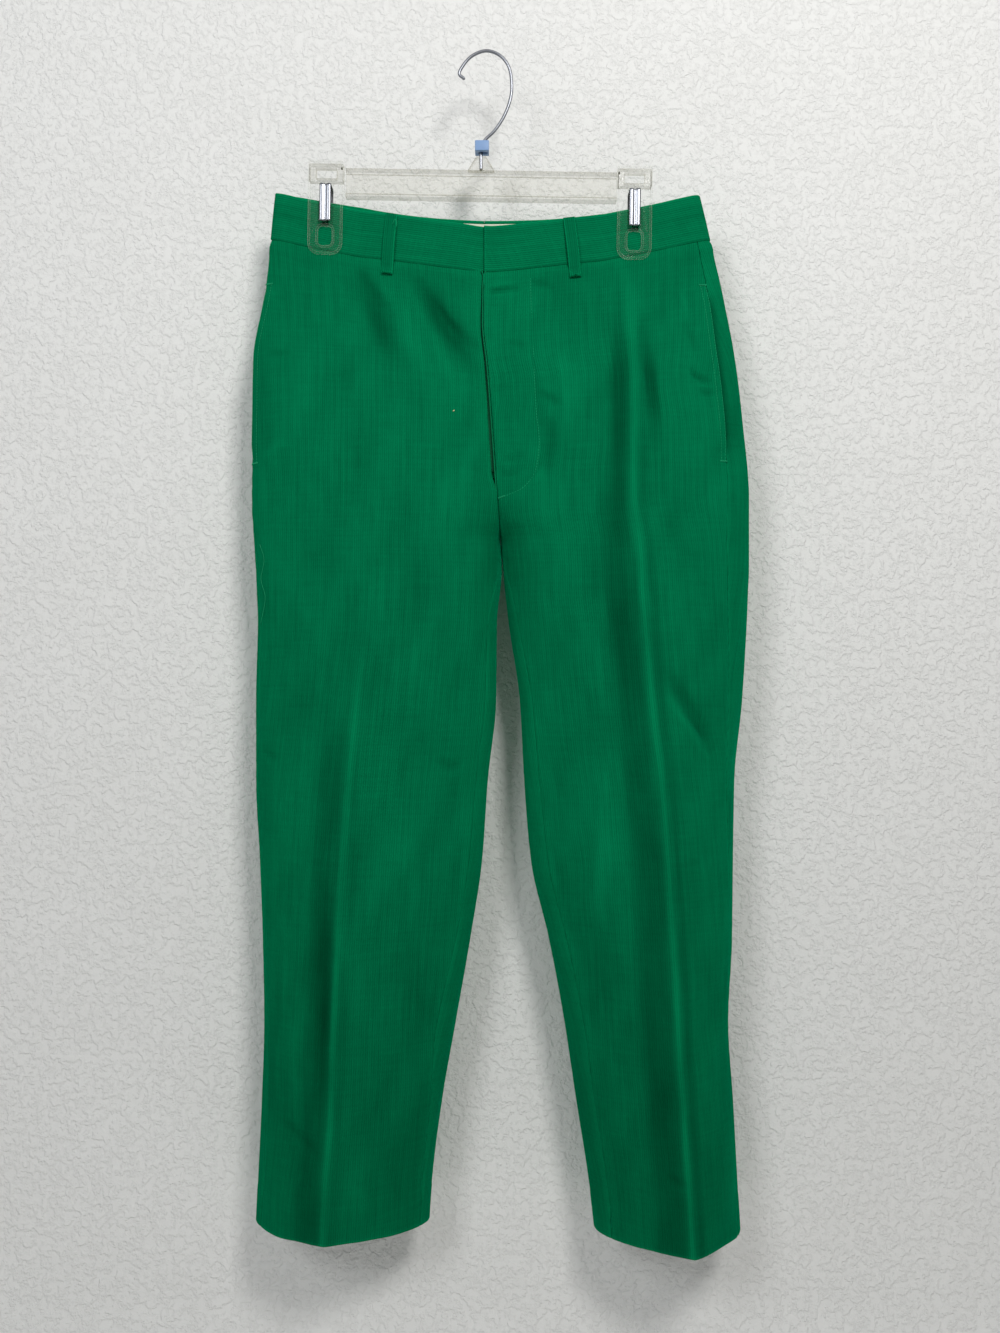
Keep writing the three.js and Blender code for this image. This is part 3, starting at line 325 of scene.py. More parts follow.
# Facings behind the back of the waistband and behind the pockets, by x or by distance from the outseam
FACING = {"from": -197.0, "to": 199.0, "top": -148.0, "bottom": -191.5, "layer": 3.45, "wall": 1.0}
POCKET = {"top": -198.0, "bottom": -424.0, "from": 15.0, "to": 42.0, "layer": 2.4, "wall": 1.0}

# Pocket opening in the outseam, between its two bar tacks
POCKET_OPEN = {
    "top": -240.0, "bottom": -428.0, "gape": 1.8, "reach": 9.0, "ends": 22.0, "stitch_in": (1.2, 6.0),
}

# Curved stitching of the fly on the wearer's left front, from the waist to the fork
FLY_STITCH = ((45, -238), (48, -323), (50.6, -380), (53.5, -410), (50.5, -437), (37, -458), (12.5, -468))

# Loose threads: one on the outseam's edge, one that stands off a belt loop, and a speck of lint
LOOSE_THREAD = {"x": (-231.0, -226.0, -230.0, -225.0, -231.0), "z": (-512.0, -528.0, -547.0, -566.0, -592.0)}
LOOP_THREAD = ((-96.0, -15.4, -184.0), (-93.0, -17.6, -180.5), (-91.2, -17.8, -183.5), (-91.8, -17.2, -187.5))
LINT = (-32.5, -379.5)

# Clip hanger, measured at its middle; the bar hangs a little low at the left side
HANGER_TILT = math.radians(0.94)
HANGER_X = -5.2
HARD_EDGE = math.radians(25)
BAR = {"from": -145.2, "to": 134.9, "top": -124.0, "height": 29.5, "depth": 9.0, "web": 2.0, "flange": 3.6}
CLIP = {
    "width": 35.5, "top": -118.6, "length": 95.8, "wall": 3.0, "corner": 12.0,
    "block_height": 18.0, "block_from": -3.8, "block_to": 4.0, "face": 4.35, "rim": 2.2, "step": 1.3,
}
CLIP_WINDOW = {"width": 14.7, "height": 20.0, "below": 76.7, "corner": 4.5, "rim": 2.2}
CLIP_SLOT = {"width": 13.2, "height": 5.2, "below": 22.2}
SPRING = {
    "width": 11.6, "wall": 0.8, "below": 23.0, "reach": 38.0, "outer": 8.9, "bend": 2.2, "lip": 1.1,
    "crown": 0.75, "groove": 1.0, "groove_reach": 0.34,
}
WIRE_SIDES = 16
SIZER = {
    "width": 14.5, "depth": 13.0, "top": -93.9, "height": 10.5, "x": -4.6, "hole_x": -3.6, "hole": (5.0, 2.4),
}
NECK = {
    "x": -5.7, "top_width": 10.0, "foot_width": 27.5, "height": 14.5, "depth": 7.0, "notch": 4.3, "floor": 1.8,
}

# Route of the hook's wire in x and z, from its tip to its foot in the neck
HOOK_ROUTE = (
    (-23.5, -27.0), (-28.2, -22.5), (-23.8, -13.0), (-14.5, -3.4), (0, 1.65), (13.5, -2.9),
    (22.5, -13.6), (25.9, -29.0), (25.2, -46.0), (19.0, -64.5), (8.5, -81.0), (-1.6, -91.0),
    (-5.0, -97.5), (-5.7, -106.0), (-5.7, -121.6),
)

# Camera: level, at the height of the knees' top, and its distance from the hanger
CAMERA_AT = (0.014, -1.100, -0.6367)
CAMERA_LENS = 38.19
SENSOR_WIDTH = 36.0

# Colours of the threads and the metal
THREAD_COLOUR = (0.012, 0.34, 0.15, 1)
LINT_COLOUR = (0.72, 0.66, 0.36, 1)
STEEL_COLOUR = (0.30, 0.31, 0.34)
BRASS_COLOUR = (0.62, 0.47, 0.20)

# Stage, in metres: a wall and a floor that meet in a bend, their stucco, and the light of the room
STAGE = {"floor": -1.57, "bend": 0.25, "front": -4.5, "top": 3.0, "half_width": 4.0}
WALL_COLOURS = ((0.84, 0.835, 0.812, 1), (0.88, 0.877, 0.857, 1))
STUCCO = {
    "lumps": 105.0, "from": 0.42, "to": 0.60, "fine": 420.0, "fine_share": 0.4,
    "height": 0.0010, "strength": 0.8,
}
ROOM = {"colour": (0.92, 0.95, 1.0, 1), "strength": 0.18}

# Lights: name, place, target, size, share of the main light's power, colour
LIGHTS = (
    ("main_light", (0.62, -1.55, 0.75), (0.0, 0.0, -0.45), (0.45, 0.45), 0.66, (1.0, 0.99, 0.97)),
    ("fill_light", (-1.1, -2.0, 0.6), (0.0, 0.0, -0.60), (0.7, 0.7), 0.52, (0.96, 0.98, 1.0)),
    ("back_light", (0.9, 2.2, 0.6), (0.0, 0.0, -0.60), (1.2, 1.2), 0.36, (1.0, 0.99, 0.97)),
    ("back_fill", (-1.7, 1.6, -0.3), (0.0, 0.0, -0.70), (1.2, 1.6), 0.2, (0.95, 0.97, 1.0)),
)


def smooth_curve(at, value):
    """Cubic between table values. Its slope at each is the harmonic mean of its neighbours', so it never
    overshoots."""
    at, value = np.asarray(at, float), np.asarray(value, float)
    step = np.diff(at)
    slope = np.diff(value) / step
    product = slope[:-1] * slope[1:]
    level = product <= 0
    middle = np.where(level, 0, 2 * product / np.where(level, 1, slope[:-1] + slope[1:]))
    tangent = np.concatenate([slope[:1], middle, slope[-1:]])

    def curve(x):
        x = np.clip(np.asarray(x, float), at[0], at[-1])
        i = np.clip(np.searchsorted(at, x) - 1, 0, len(step) - 1)
        t = (x - at[i]) / step[i]
        rest = 1 - t
        start = value[i] * rest * rest * (1 + 2 * t) + tangent[i] * step[i] * t * rest * rest
        return start + value[i + 1] * t * t * (3 - 2 * t) - tangent[i + 1] * step[i] * t * t * rest

    return curve


def curves(columns, table):
    """One smooth curve for each column of a table, over the table's first column."""
    rows = np.array(sorted(table), float)
    return {name: smooth_curve(rows[:, 0], rows[:, i]) for i, name in enumerate(columns) if i}


SECTIONS = {"right": curves(SECTION_COLUMNS, RIGHT_SECTIONS), "left": curves(SECTION_COLUMNS, LEFT_SECTIONS)}
SIGN = {"right": -1, "left": 1}
rise = curves(RISE_COLUMNS, RISE)
roundness = curves(ROUND_COLUMNS, ROUND)
lap_gap = curves(LAP_GAP_COLUMNS, LAP_GAP)
waist = curves(WAIST_COLUMNS, WAIST)


def smooth_step(low, high, x):
    """0 up to low, 1 from high on, and an S curve between; it falls instead where high is under low."""
    t = np.clip((x - low) / (high - low), 0, 1)
    return t * t * (3 - 2 * t)


def bell(away, reach):
    """1 on a line, falling as the exponential of minus the square of the distance over the reach."""
    return np.exp(-((away / reach) ** 2))


def between(low, high, ends, z):
    """1 between two heights and 0 outside them, with an S curve inside each end."""
    return smooth_step(0, ends, high - z) * smooth_step(0, ends, z - low)


def sagged(y, x, base):
    """Height of a point: the waist sags towards the centre, less and less down to the seat."""
    across = np.minimum(np.abs(x - SAG["front"]["centre"]) / SAG_HALF_WIDTH, 1)
    behind = np.clip(0.5 + y / SIDE_FOLD["depth"] / 2, 0, 1) * (1 - across**SAG_EVENS)
    sag = sag_of("front", x) * (1 - behind) + sag_of("back", x) * behind
    over = (base - WAIST_SEAM) / (BAND_TOP - WAIST_SEAM)
    below = np.maximum(0, (base - SAG_ENDS) / (WAIST_SEAM - SAG_ENDS)) ** SAG_FADE
    return base - sag * np.where(base >= WAIST_SEAM, 1 + SAG_BAND_EXTRA * over, below)


def sag_of(face, x):
    """How far the waist's front or back hangs down at x."""
    sag = SAG[face]
    across = np.minimum(np.abs(x - sag["centre"]) / SAG_HALF_WIDTH, 1)
    return sag["depth"] * (1 - across ** sag["power"])


def main_folds(face, x, z):
    """Each fold swells as a half sine along its line and as a bell across it."""
    height = np.zeros(np.broadcast(x, z).shape)
    for x0, z0, x1, z1, width, tall in MAIN_FOLDS[face]:
        along_x, along_z = x1 - x0, z1 - z0
        length = math.hypot(along_x, along_z)
        along = ((x - x0) * along_x + (z - z0) * along_z) / length**2
        across = ((x - x0) * along_z - (z - z0) * along_x) / length
        swell = np.sin(math.pi * np.clip(along, 0, 1))
        height += tall * swell * bell(across, width)
    return height


def small_creases(face, x, z, pieces=10):
    """Each crease is a bell across a curve bent through three points, and fades at the curve's ends."""
    height = np.zeros(np.broadcast(x, z).shape)
    t = np.linspace(0, 1, pieces + 1)
    for x0, z0, x1, z1, x2, z2, width, tall in SMALL_CREASES[face]:
        bend_x, bend_z = 2 * x1 - (x0 + x2) / 2, 2 * z1 - (z0 + z2) / 2
        line_x = (1 - t) ** 2 * x0 + 2 * t * (1 - t) * bend_x + t * t * x2
        line_z = (1 - t) ** 2 * z0 + 2 * t * (1 - t) * bend_z + t * t * z2
        reach = 3 * width
        near = (x > line_x.min() - reach) & (x < line_x.max() + reach)
        near &= (z > line_z.min() - reach) & (z < line_z.max() + reach)
        px, pz = x[near][:, None], z[near][:, None]
        dx, dz = np.diff(line_x), np.diff(line_z)
        share = np.clip(((px - line_x[:-1]) * dx + (pz - line_z[:-1]) * dz) / (dx**2 + dz**2), 0, 1)
        away = np.hypot(px - line_x[:-1] - share * dx, pz - line_z[:-1] - share * dz)
        closest = away.argmin(axis=1)
        picked = np.arange(len(closest))
        along = (closest + share[picked, closest]) / pieces
        swell = np.sin(math.pi * np.clip(along, 0, 1)) ** 0.8
        height[near] += tall * swell * bell(away[picked, closest], width)
    return height


def swells(x, z):
    """A sum of a few slanted waves of different lengths."""
    waves = [
        tall * np.sin(2 * math.pi * (x / across + z / down) + phase) for across, down, phase, tall in SWELLS
    ]
    return sum(waves)


def inner_x(side, base):
    """Where the half ends towards the other one: the centre seam, and further down the leg's inner fold."""
    return SECTIONS[side]["inner"](base) + np.where(base >= INSEAM_TOP, SIGN[side] * HALF_GAP, 0)


def waist_y(side, face, x, base):
    """The waist row: round at the side fold, flat in the clip, and open towards the centre."""
    to_clip = (CLIP_X[side] - x) * SIGN[side]
    opened = waist["front_y" if face == "front" else "back_y"](to_clip)
    from_side = np.minimum(np.abs(SECTIONS[side]["outer"](base) - x) / SIDE_FOLD["reach"], 1)
    return opened * np.sqrt(np.maximum(0, 1 - (1 - from_side) ** 2))


def face_y(side, face, x, base):
    """Outer face of the cloth: a quarter of a rounded section between its crease and its side or centre, with
    the waist's own row blended in near the top and the folds added."""
    x, base = np.broadcast_arrays(np.asarray(x, float), np.asarray(base, float))
    sections, front = SECTIONS[side], face == "front"
    crease = sections["crease" if front else "back_crease"](base)
    crease_y = sections["front_y" if front else "back_y"](base)
    outer, inner = sections["outer"](base), inner_x(side, base)
    to_side = (x - crease) * SIGN[side] > 0
    rise_y = rise["front_y" if front else "back_y"](base)
    middle_y = np.where(base > INSEAM_TOP, rise_y, rise["inner_y"](base))
    edge_x = np.where(to_side, outer, inner)
    edge_y = np.where(to_side, rise["inner_y"](base), middle_y)
    p = np.where(to_side, roundness["p_out"](base), roundness["p_front" if front else "p_back"](base))
    q = np.where(to_side, roundness["q_out"](base), roundness["q_front" if front else "q_back"](base))
    across = np.minimum(np.abs((x - crease) / (edge_x - crease)), 1)
    section = edge_y + (crease_y - edge_y) * (1 - across**p) ** (1 / q)
    held = 1 - smooth_step(-WAIST_FLAT_TO, -WAIST_FADES, -base)
    y = section + (waist_y(side, face, x, base) - section) * held
    folds = fold_height(side, face, x, base, sagged(y, x, base))
    return y + (-folds if front else folds)


def fold_height(side, face, x, base, z):
    """How far the folds, creases and swells stand out of a face; all of them fade towards the seams."""
    outer, inner = SECTIONS[side]["outer"](base), inner_x(side, base)
    held = 1 - smooth_step(-WAIST_FLAT_TO, -WAIST_FADES, -base)
    doubled = np.where(base > FORK, FLY_STIFF, SEAM_STIFF)
    from_side = smooth_step(0, SEAM_STIFF, np.abs(x - outer))
    folds = main_folds(face, x, z) * from_side * smooth_step(0, doubled, np.abs(x - inner)) * (1 - held)
    loose = from_side * smooth_step(0, SEAM_STIFF / 3, np.abs(x - inner)) * smooth_step(196, 216, -base)
    folds = folds + small_creases(face, x, z) * loose
    return folds + swells(x, z) * loose * smooth_step(-SAG_ENDS / 2, -SAG_ENDS, -base)


def fold_painted_shade(side, face, x, base, z):
    """Painted shade in the troughs of the folds and painted highlight on their ridges, by a share of their
    height.
    """
    outer, inner = SECTIONS[side]["outer"](base), inner_x(side, base)
    free = smooth_step(0, SEAM_STIFF, np.abs(x - outer)) * smooth_step(0, SEAM_STIFF / 3, np.abs(x - inner))
    below = smooth_step(198, 214, -base)
    height = (main_folds(face, x, z) + small_creases(face, x, z) + 0.35 * swells(x, z)) * free * below
    return np.clip(FOLD_SHADE["share"] * height, -FOLD_SHADE["dark"], FOLD_SHADE["pale"])


def sunk(side, x, base, depth):
    """The right edge of the fly lies behind the left one by this depth."""
    if side != "right":
        return np.zeros(np.broadcast(x, base).shape)
    share = 1 - smooth_step(0, LAP["reach"], np.abs(inner_x(side, base) - x))
    return depth * share * (1 - smooth_step(-FORK - 40, -FORK, -base))


def surface(side, face, x, base, depth=0.0):
    """Point and outward direction on a face at x and a nominal height, moved inwards by a depth."""
    x, base = np.broadcast_arrays(np.asarray(x, float), np.asarray(base, float))

    def at(x, base):
        y = face_y(side, face, x, base)
        return np.stack([x, y, sagged(y, x, base)], axis=-1)

    step = 0.5
    across = at(x + step, base) - at(x - step, base)
    down = at(x, base + step) - at(x, base - step)
    normal = np.cross(across, down)
    normal = unit(normal * np.where(normal[..., 1:2] * (-1 if face == "front" else 1) < 0, -1, 1))
    return at(x, base) - normal * np.asarray(depth)[..., None], normal


def base_at(side, face, x, z):
    """Nominal height of the point on a face that hangs at x and z."""
    x, z = np.asarray(x, float), np.asarray(z, float)
    base = z.copy()
    for _ in range(8):
        base = base + z - sagged(face_y(side, face, x, base), x, base)
    return base


def unit(vectors):
    """Vectors of length 1."""
    return vectors / np.maximum(np.linalg.norm(vectors, axis=-1, keepdims=True), 1e-12)


def arc_length(points):
    """Length along each row of points, from its first one."""
    steps = np.linalg.norm(np.diff(points, axis=-2), axis=-1)
    return np.concatenate([np.zeros_like(steps[..., :1]), np.cumsum(steps, axis=-1)], axis=-1)


def even_points(rows, lengths, count):
    """Each row of points again, as count points evenly along its lengths."""
    result = np.empty((len(rows), count, rows.shape[2]))
    for i, (row, along) in enumerate(zip(rows, lengths)):
        at = np.linspace(0, along[-1], count)
        for axis in range(rows.shape[2]):
            result[i, :, axis] = np.interp(at, along, row[:, axis])
    return result


def x_values(start, end, count, crowd="end"):
    """Values from start to end in each row, crowded towards the end that turns round a fold."""
    t = np.linspace(0, 1, count)
    t = np.sin(math.pi / 2 * t) if crowd == "end" else 1 - np.cos(math.pi / 2 * t)
    return start[:, None] + (end - start)[:, None] * t


def panel_lines(side, face, bases):
    """Dense rows of a panel's outer points in x, y: from outseam to crease, and on to the inner edge."""
    sections, sign = SECTIONS[side], SIGN[side]
    outer, inner = sections["outer"](bases), inner_x(side, bases)
    outseam = outer - sign * sections["outseam_in"](bases)
    inseam = inner + sign * sections["inseam_in"](bases)
    dense = 90

    def line(which, start, end, crowd):
        x = x_values(start, end, dense, crowd)
        return np.stack([x, face_y(side, which, x, bases[:, None])], axis=-1)

    if face == "front":
        crease = sections["crease"](bases)
        return line("front", outseam, crease, "start"), line("front", crease, inseam, "end")
    crease = sections["back_crease"](bases)
    outward = [line("front", outseam, outer, "end"), line("back", outer, crease, "start")[:, 1:]]
    inward = [line("back", crease, inner, "end"), line("front", inner, inseam, "start")[:, 1:]]
    return np.concatenate(outward, axis=1), np.concatenate(inward, axis=1)


def panel_grid(side, face):
    """Outer points of a panel, its distances from the crease, and its nominal heights."""
    rows = int((WAIST_SEAM - HEM[side]) / ROW_STEP)
    under_band = WAIST_SEAM + TURNING * np.array([1.0, 0.6, 0.3])
    bases = np.concatenate([under_band, np.linspace(WAIST_SEAM, HEM[side], rows)])
    outward, inward = panel_lines(side, face, bases)
    lengths = [arc_length(part) for part in (outward, inward)]
    counts = [int(length.max() / COLUMN_STEP) for length in lengths]
    outward = even_points(outward, lengths[0], counts[0])
    inward = even_points(inward, lengths[1], counts[1])
    row = np.concatenate([outward, inward[:, 1:]], axis=1)
    along = arc_length(row)
    from_crease = along - along[:, counts[0] - 1:counts[0]]
    base = bases[:, None]
    x, y = row[..., 0], row[..., 1]
    z = sagged(y, x, base)
    if face == "front":
        near = 1 - smooth_step(0, LAP["reach"], np.abs(inner_x(side, base) - x))
        y = y + sunk(side, x, base, LAP["sink"])
        if side == "right":
            x = x - lap_gap["gap"](base) * near
    return np.stack([x, y, z], axis=-1), from_crease, along, bases


def grid_normals(points, outward):
    """Direction out of the cloth at each grid point, on the side of the given direction field."""
    normal = unit(np.cross(np.gradient(points, axis=0), np.gradient(points, axis=1)))
    flip = np.sign((normal * outward).sum(axis=-1, keepdims=True).sum())
    return normal * (flip or 1)


def seam_relief(along, bases, pocket):
    """Relief beside the two long seams: the cloth dips into each seam, and small puckers swell beside it."""
    result = np.zeros(along.shape)
    for n, away in enumerate((along, along[:, -1:] - along)):
        wave = np.sin(bases / 3.1 + 2 * np.sin(bases / 23 + n)) * (0.6 + 0.4 * np.sin(bases / 41 + 2 * n))
        beside = bell(away, SEAM_RELIEF["reach"]) * (1 - bell(away, SEAM_RELIEF["from"]))
        puckers = SEAM_RELIEF["pucker"] * wave[:, None] * beside
        result += puckers - SEAM_RELIEF["dips"][n] * bell(away, SEAM_RELIEF["dip_reach"])
    return result + (pocket_gape(bases[:, None], along) if pocket else 0)


def rounded_shell(outer, inner, uv, steps=2):
    """Closed wall between two grids of points. The grids are carried on past each edge as a half round, whose
    thickness falls as the cosine and whose reach grows as the sine of an angle, until both layers meet."""
    turn = np.linspace(math.pi / 2, 0, steps + 1)
    angles = [np.concatenate([turn[:-1], np.zeros(size), turn[:-1][::-1]]) for size in outer.shape[:2]]
    pad = ((steps, steps), (steps, steps), (0, 0))
    middle, half = np.pad((outer + inner) / 2, pad, "edge"), np.pad((outer - inner) / 2, pad, "edge")
    thick = np.linalg.norm(half, axis=-1, keepdims=True)
    shift = np.zeros_like(middle)
    for axis in (0, 1):
        angle = angles[axis]
        lines = np.moveaxis(middle, axis, 0)
        ends = ((steps, steps + 1, slice(0, steps + 1)), (-steps - 1, -steps - 2, slice(-steps - 1, None)))
        for first, second, span in ends:
            out = unit(lines[first] - lines[second])
            reach = (np.sin(angle[span]) - 1)[:, None, None]
            moved = np.moveaxis(shift, axis, 0)
            moved[span] += out[None] * reach * np.moveaxis(thick, axis, 0)[span]
    share = (np.cos(angles[0])[:, None] * np.cos(angles[1])[None, :])[..., None]
    share[[0, -1]] = 0
    share[:, [0, -1]] = 0
    top, under = middle + half * share + shift, middle - half * share + shift
    rows, columns = top.shape[:2]
    upper = np.arange(rows * columns).reshape(rows, columns)
    lower = upper.copy()
    lower[1:-1, 1:-1] = rows * columns + np.arange((rows - 2) * (columns - 2)).reshape(rows - 2, columns - 2)
    points = np.concatenate([top.reshape(-1, 3), under[1:-1, 1:-1].reshape(-1, 3)])
    faces = np.concatenate([quads(upper), quads(lower)[:, ::-1]])
    uv = np.pad(uv, pad, "edge")
    uv = np.concatenate([uv.reshape(-1, 2), uv[1:-1, 1:-1].reshape(-1, 2)])
    inside = np.repeat([0, 1], (rows - 1) * (columns - 1))
    if volume(points, faces) < 0:
        faces = faces[:, ::-1]
    return points, faces, uv, inside


def quads(ids):
    """Faces between neighbouring rows and columns of a grid of point numbers."""
    return np.stack([ids[:-1, :-1], ids[1:, :-1], ids[1:, 1:], ids[:-1, 1:]], axis=-1).reshape(-1, 4)


def volume(points, faces):
    """Signed volume inside a closed mesh of quads."""
    a, b, c, d = (points[faces[:, i]] for i in range(4))
    return float((a * np.cross(b, c)).sum() + (a * np.cross(c, d)).sum()) / 6


def merged_mesh(name, parts):
    """A smooth mesh from parts, each (points in millimetres, faces, material)."""
    points, faces, indices, materials, count = [], [], [], [], 0
    for part_points, part_faces, material in parts:
        if material not in materials:
            materials.append(material)
        points.append(part_points)
        faces.extend([[int(i) + count for i in face] for face in part_faces])
        indices.extend([materials.index(material)] * len(part_faces))
        count += len(part_points)
    mesh = bpy.data.meshes.new(name)
    mesh.from_pydata((np.concatenate(points) * MM).tolist(), [], faces)
    for material in materials:
        mesh.materials.append(material)
    mesh.polygons.foreach_set("material_index", indices)
    mesh.polygons.foreach_set("use_smooth", [True] * len(faces))
    return mesh


def add_piece(name, mesh, nodes):
    """The object of a mesh, riding on the part's body in place of its nodes."""
    piece = bpy.data.objects.new(name, mesh)
    bpy.context.scene.collection.objects.link(piece)
    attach(piece, BODY)
    if nodes:
        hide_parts(*nodes)
    return piece


def add_cloth(name, outer, inner, uv, cloths, node, wear_and_shade=None, steps=2, turned=0):
    """A rounded shell with one cloth outside and another inside, its map, and its wear and painted shade as an
    attribute. The outer cloth is turned over the top edge for a number of rows."""
    points, faces, uvs, is_inside = rounded_shell(outer, inner, uv, steps)
    columns = outer.shape[1] + 2 * steps - 1
    is_inside[len(is_inside) // 2:][:(steps + turned) * columns] = 0
    mesh = merged_mesh(name, [(points, faces.tolist(), cloths[0])])
    corner = np.empty(len(mesh.loops), np.int32)
    mesh.loops.foreach_get("vertex_index", corner)
    mesh.uv_layers.new(name="cloth").data.foreach_set("uv", (uvs * MM)[corner].ravel())
    if wear_and_shade is not None:
        padded = np.pad(wear_and_shade, steps, "edge")
        relief = np.concatenate([padded.ravel(), padded[1:-1, 1:-1].ravel()])
        mesh.attributes.new("wear_and_shade", "FLOAT", "POINT").data.foreach_set("value", relief)
    if cloths[1] is not cloths[0]:
        mesh.materials.append(cloths[1])
        mesh.polygons.foreach_set("material_index", is_inside)
    mesh.update()
    return add_piece(name, mesh, (node,))


# Materials


def add_node(tree, kind, values=None, **settings):
    """A node with its settings, whose inputs are set to values or linked to sockets."""
    node = tree.nodes.new(kind)
    for key, value in settings.items():
        setattr(node, key, value)
    for key, value in (values or {}).items():
        if isinstance(value, bpy.types.NodeSocket):
            tree.links.new(value, node.inputs[key])
        else:
            node.inputs[key].default_value = value
    return node


def maths(tree, operation, *values):
    """Output of a Math node on values or sockets."""
    return add_node(tree, "ShaderNodeMath", dict(enumerate(values)), operation=operation).outputs[0]


def blended(tree, factor, first, second, blend="MIX"):
    """Output of a colour Mix node."""
    node = add_node(tree, "ShaderNodeMix", data_type="RGBA", blend_type=blend)
    for key, value in ((0, factor), (6, first), (7, second)):
        if isinstance(value, bpy.types.NodeSocket):
            tree.links.new(value, node.inputs[key])
        else:
            node.inputs[key].default_value = value
    return node.outputs[2]


def noise(tree, vector, scale, detail=2.0, rough=0.5):
    """Value of a noise texture."""
    values = {"Vector": vector, "Scale": scale, "Detail": detail, "Roughness": rough}
    return add_node(tree, "ShaderNodeTexNoise", values).outputs["Fac"]


def new_group(name, inputs, outputs):
    """A new node group with its inputs, float outputs, and its input and output nodes."""
    tree = bpy.data.node_groups.new(name, "ShaderNodeTree")
    for label, kind, default in inputs:
        socket = tree.interface.new_socket(name=label, in_out="INPUT", socket_type=kind)
        if default is not None:
            socket.default_value = default
    for label in outputs:
        tree.interface.new_socket(name=label, in_out="OUTPUT", socket_type="NodeSocketFloat")
    return tree, tree.nodes.new("NodeGroupInput"), tree.nodes.new("NodeGroupOutput")


def corduroy_ribs():
    """Ribs across the first coordinate of the cloth map, wavering a little, with pile and brushed patches."""
    name = "corduroy_ribs"
    if name in bpy.data.node_groups:
        return bpy.data.node_groups[name]
    inputs = [("Map", "NodeSocketVector", None), ("Pitch", "NodeSocketFloat", 0.0022)]
    tree, given, out = new_group(name, inputs, ("Rib", "Uneven", "Patch", "Streak", "Height"))
    cloth, pitch = given.outputs["Map"], given.outputs["Pitch"]
    parts = add_node(tree, "ShaderNodeSeparateXYZ", {0: cloth})
    waver = maths(tree, "MULTIPLY", maths(tree, "SUBTRACT", noise(tree, cloth, 45.0), 0.5), 0.0003)
    phase = maths(tree, "DIVIDE", maths(tree, "ADD", parts.outputs["X"], waver), pitch)
    wave = maths(tree, "ABSOLUTE", maths(tree, "SINE", maths(tree, "MULTIPLY", phase, math.pi)))
    rib = maths(tree, "POWER", wave, 0.55)
    rib_map = add_node(tree, "ShaderNodeMapping", {"Vector": cloth, "Scale": (1.0, 0.03, 1.0)}).outputs[0]
    uneven = noise(tree, rib_map, 330.0, 2.0, 0.6)
    long_map = add_node(tree, "ShaderNodeMapping", {"Vector": cloth, "Scale": (1.0, 0.3, 1.0)}).outputs[0]
    pile = noise(tree, long_map, 2600.0, 3.0, 0.7)
    wide_map = add_node(tree, "ShaderNodeMapping", {"Vector": cloth, "Scale": (0.06, 1.0, 1.0)}).outputs[0]
    streak = noise(tree, wide_map, 420.0, 2.0, 0.6)
    patch_map = add_node(tree, "ShaderNodeMapping", {"Vector": cloth, "Scale": (1.0, 0.4, 1.0)}).outputs[0]
    patch = noise(tree, patch_map, 17.0, 5.0, 0.62)
    height = maths(tree, "ADD", rib, maths(tree, "MULTIPLY", pile, 0.45))
    outputs = (("Rib", rib), ("Uneven", uneven), ("Patch", patch), ("Streak", streak), ("Height", height))
    for label, socket in outputs:
        tree.links.new(socket, out.inputs[label])
    return tree


def woven_threads():
    """Over and under of a plain or twill weave on the cloth map."""
    name = "woven_threads"
    if name in bpy.data.node_groups:
        return bpy.data.node_groups[name]
    inputs = [
        ("Map", "NodeSocketVector", None),
        ("Count", "NodeSocketFloat", 1600.0),
        ("Slant", "NodeSocketFloat", 1.0),
    ]
    tree, given, out = new_group(name, inputs, ("Thread", "Slub"))
    cloth = given.outputs["Map"]
    parts = add_node(tree, "ShaderNodeSeparateXYZ", {0: cloth})
    count = maths(tree, "MULTIPLY", given.outputs["Count"], math.pi)
    slant = maths(tree, "MULTIPLY", parts.outputs["Y"], given.outputs["Slant"])
    slanted = maths(tree, "ADD", parts.outputs["X"], slant)
    warp = maths(tree, "SINE", maths(tree, "MULTIPLY", slanted, count))
    weft = maths(tree, "SINE", maths(tree, "MULTIPLY", parts.outputs["Y"], count))
    thread = maths(tree, "MULTIPLY_ADD", maths(tree, "MULTIPLY", warp, weft), 0.5, 0.5)
    tree.links.new(thread, out.inputs["Thread"])
    tree.links.new(noise(tree, cloth, 900.0, 3.0, 0.6), out.inputs["Slub"])
    return tree


def surface_marks():
    """Fine scratches, dust and soft smudges over the object's own coordinates."""
    name = "surface_marks"
    if name in bpy.data.node_groups:
        return bpy.data.node_groups[name]
    inputs = [("Place", "NodeSocketVector", None), ("Size", "NodeSocketFloat", 60.0)]
    tree, given, out = new_group(name, inputs, ("Smudge", "Grain"))
    place, size = given.outputs["Place"], given.outputs["Size"]
    tree.links.new(noise(tree, place, size, 4.0, 0.6), out.inputs["Smudge"])
    fine = maths(tree, "MULTIPLY", size, 22.0)
    tree.links.new(noise(tree, place, fine, 2.0, 0.5), out.inputs["Grain"])
    return tree


def new_material(name, **shader):
    """A material with a Principled shader whose own sockets hold the constant values."""
    material = bpy.data.materials.new(name)
    material.use_nodes = True
    tree = material.node_tree
    principled = tree.nodes["Principled BSDF"]
    for label, value in shader.items():
        principled.inputs[label.replace("_", " ")].default_value = value
    return material, tree, principled


def bump(tree, principled, height, distance, strength=1.0):
    """Feeds a height in metres times distance to the shader's normal."""
    node = add_node(tree, "ShaderNodeBump", {"Height": height, "Distance": distance, "Strength": strength})
    tree.links.new(node.outputs["Normal"], principled.inputs["Normal"])


def shaded(colour, share):
    """A colour made lighter or darker by a factor, with full alpha."""
    return tuple(min(channel * share, 1) for channel in colour[:3]) + (1,)


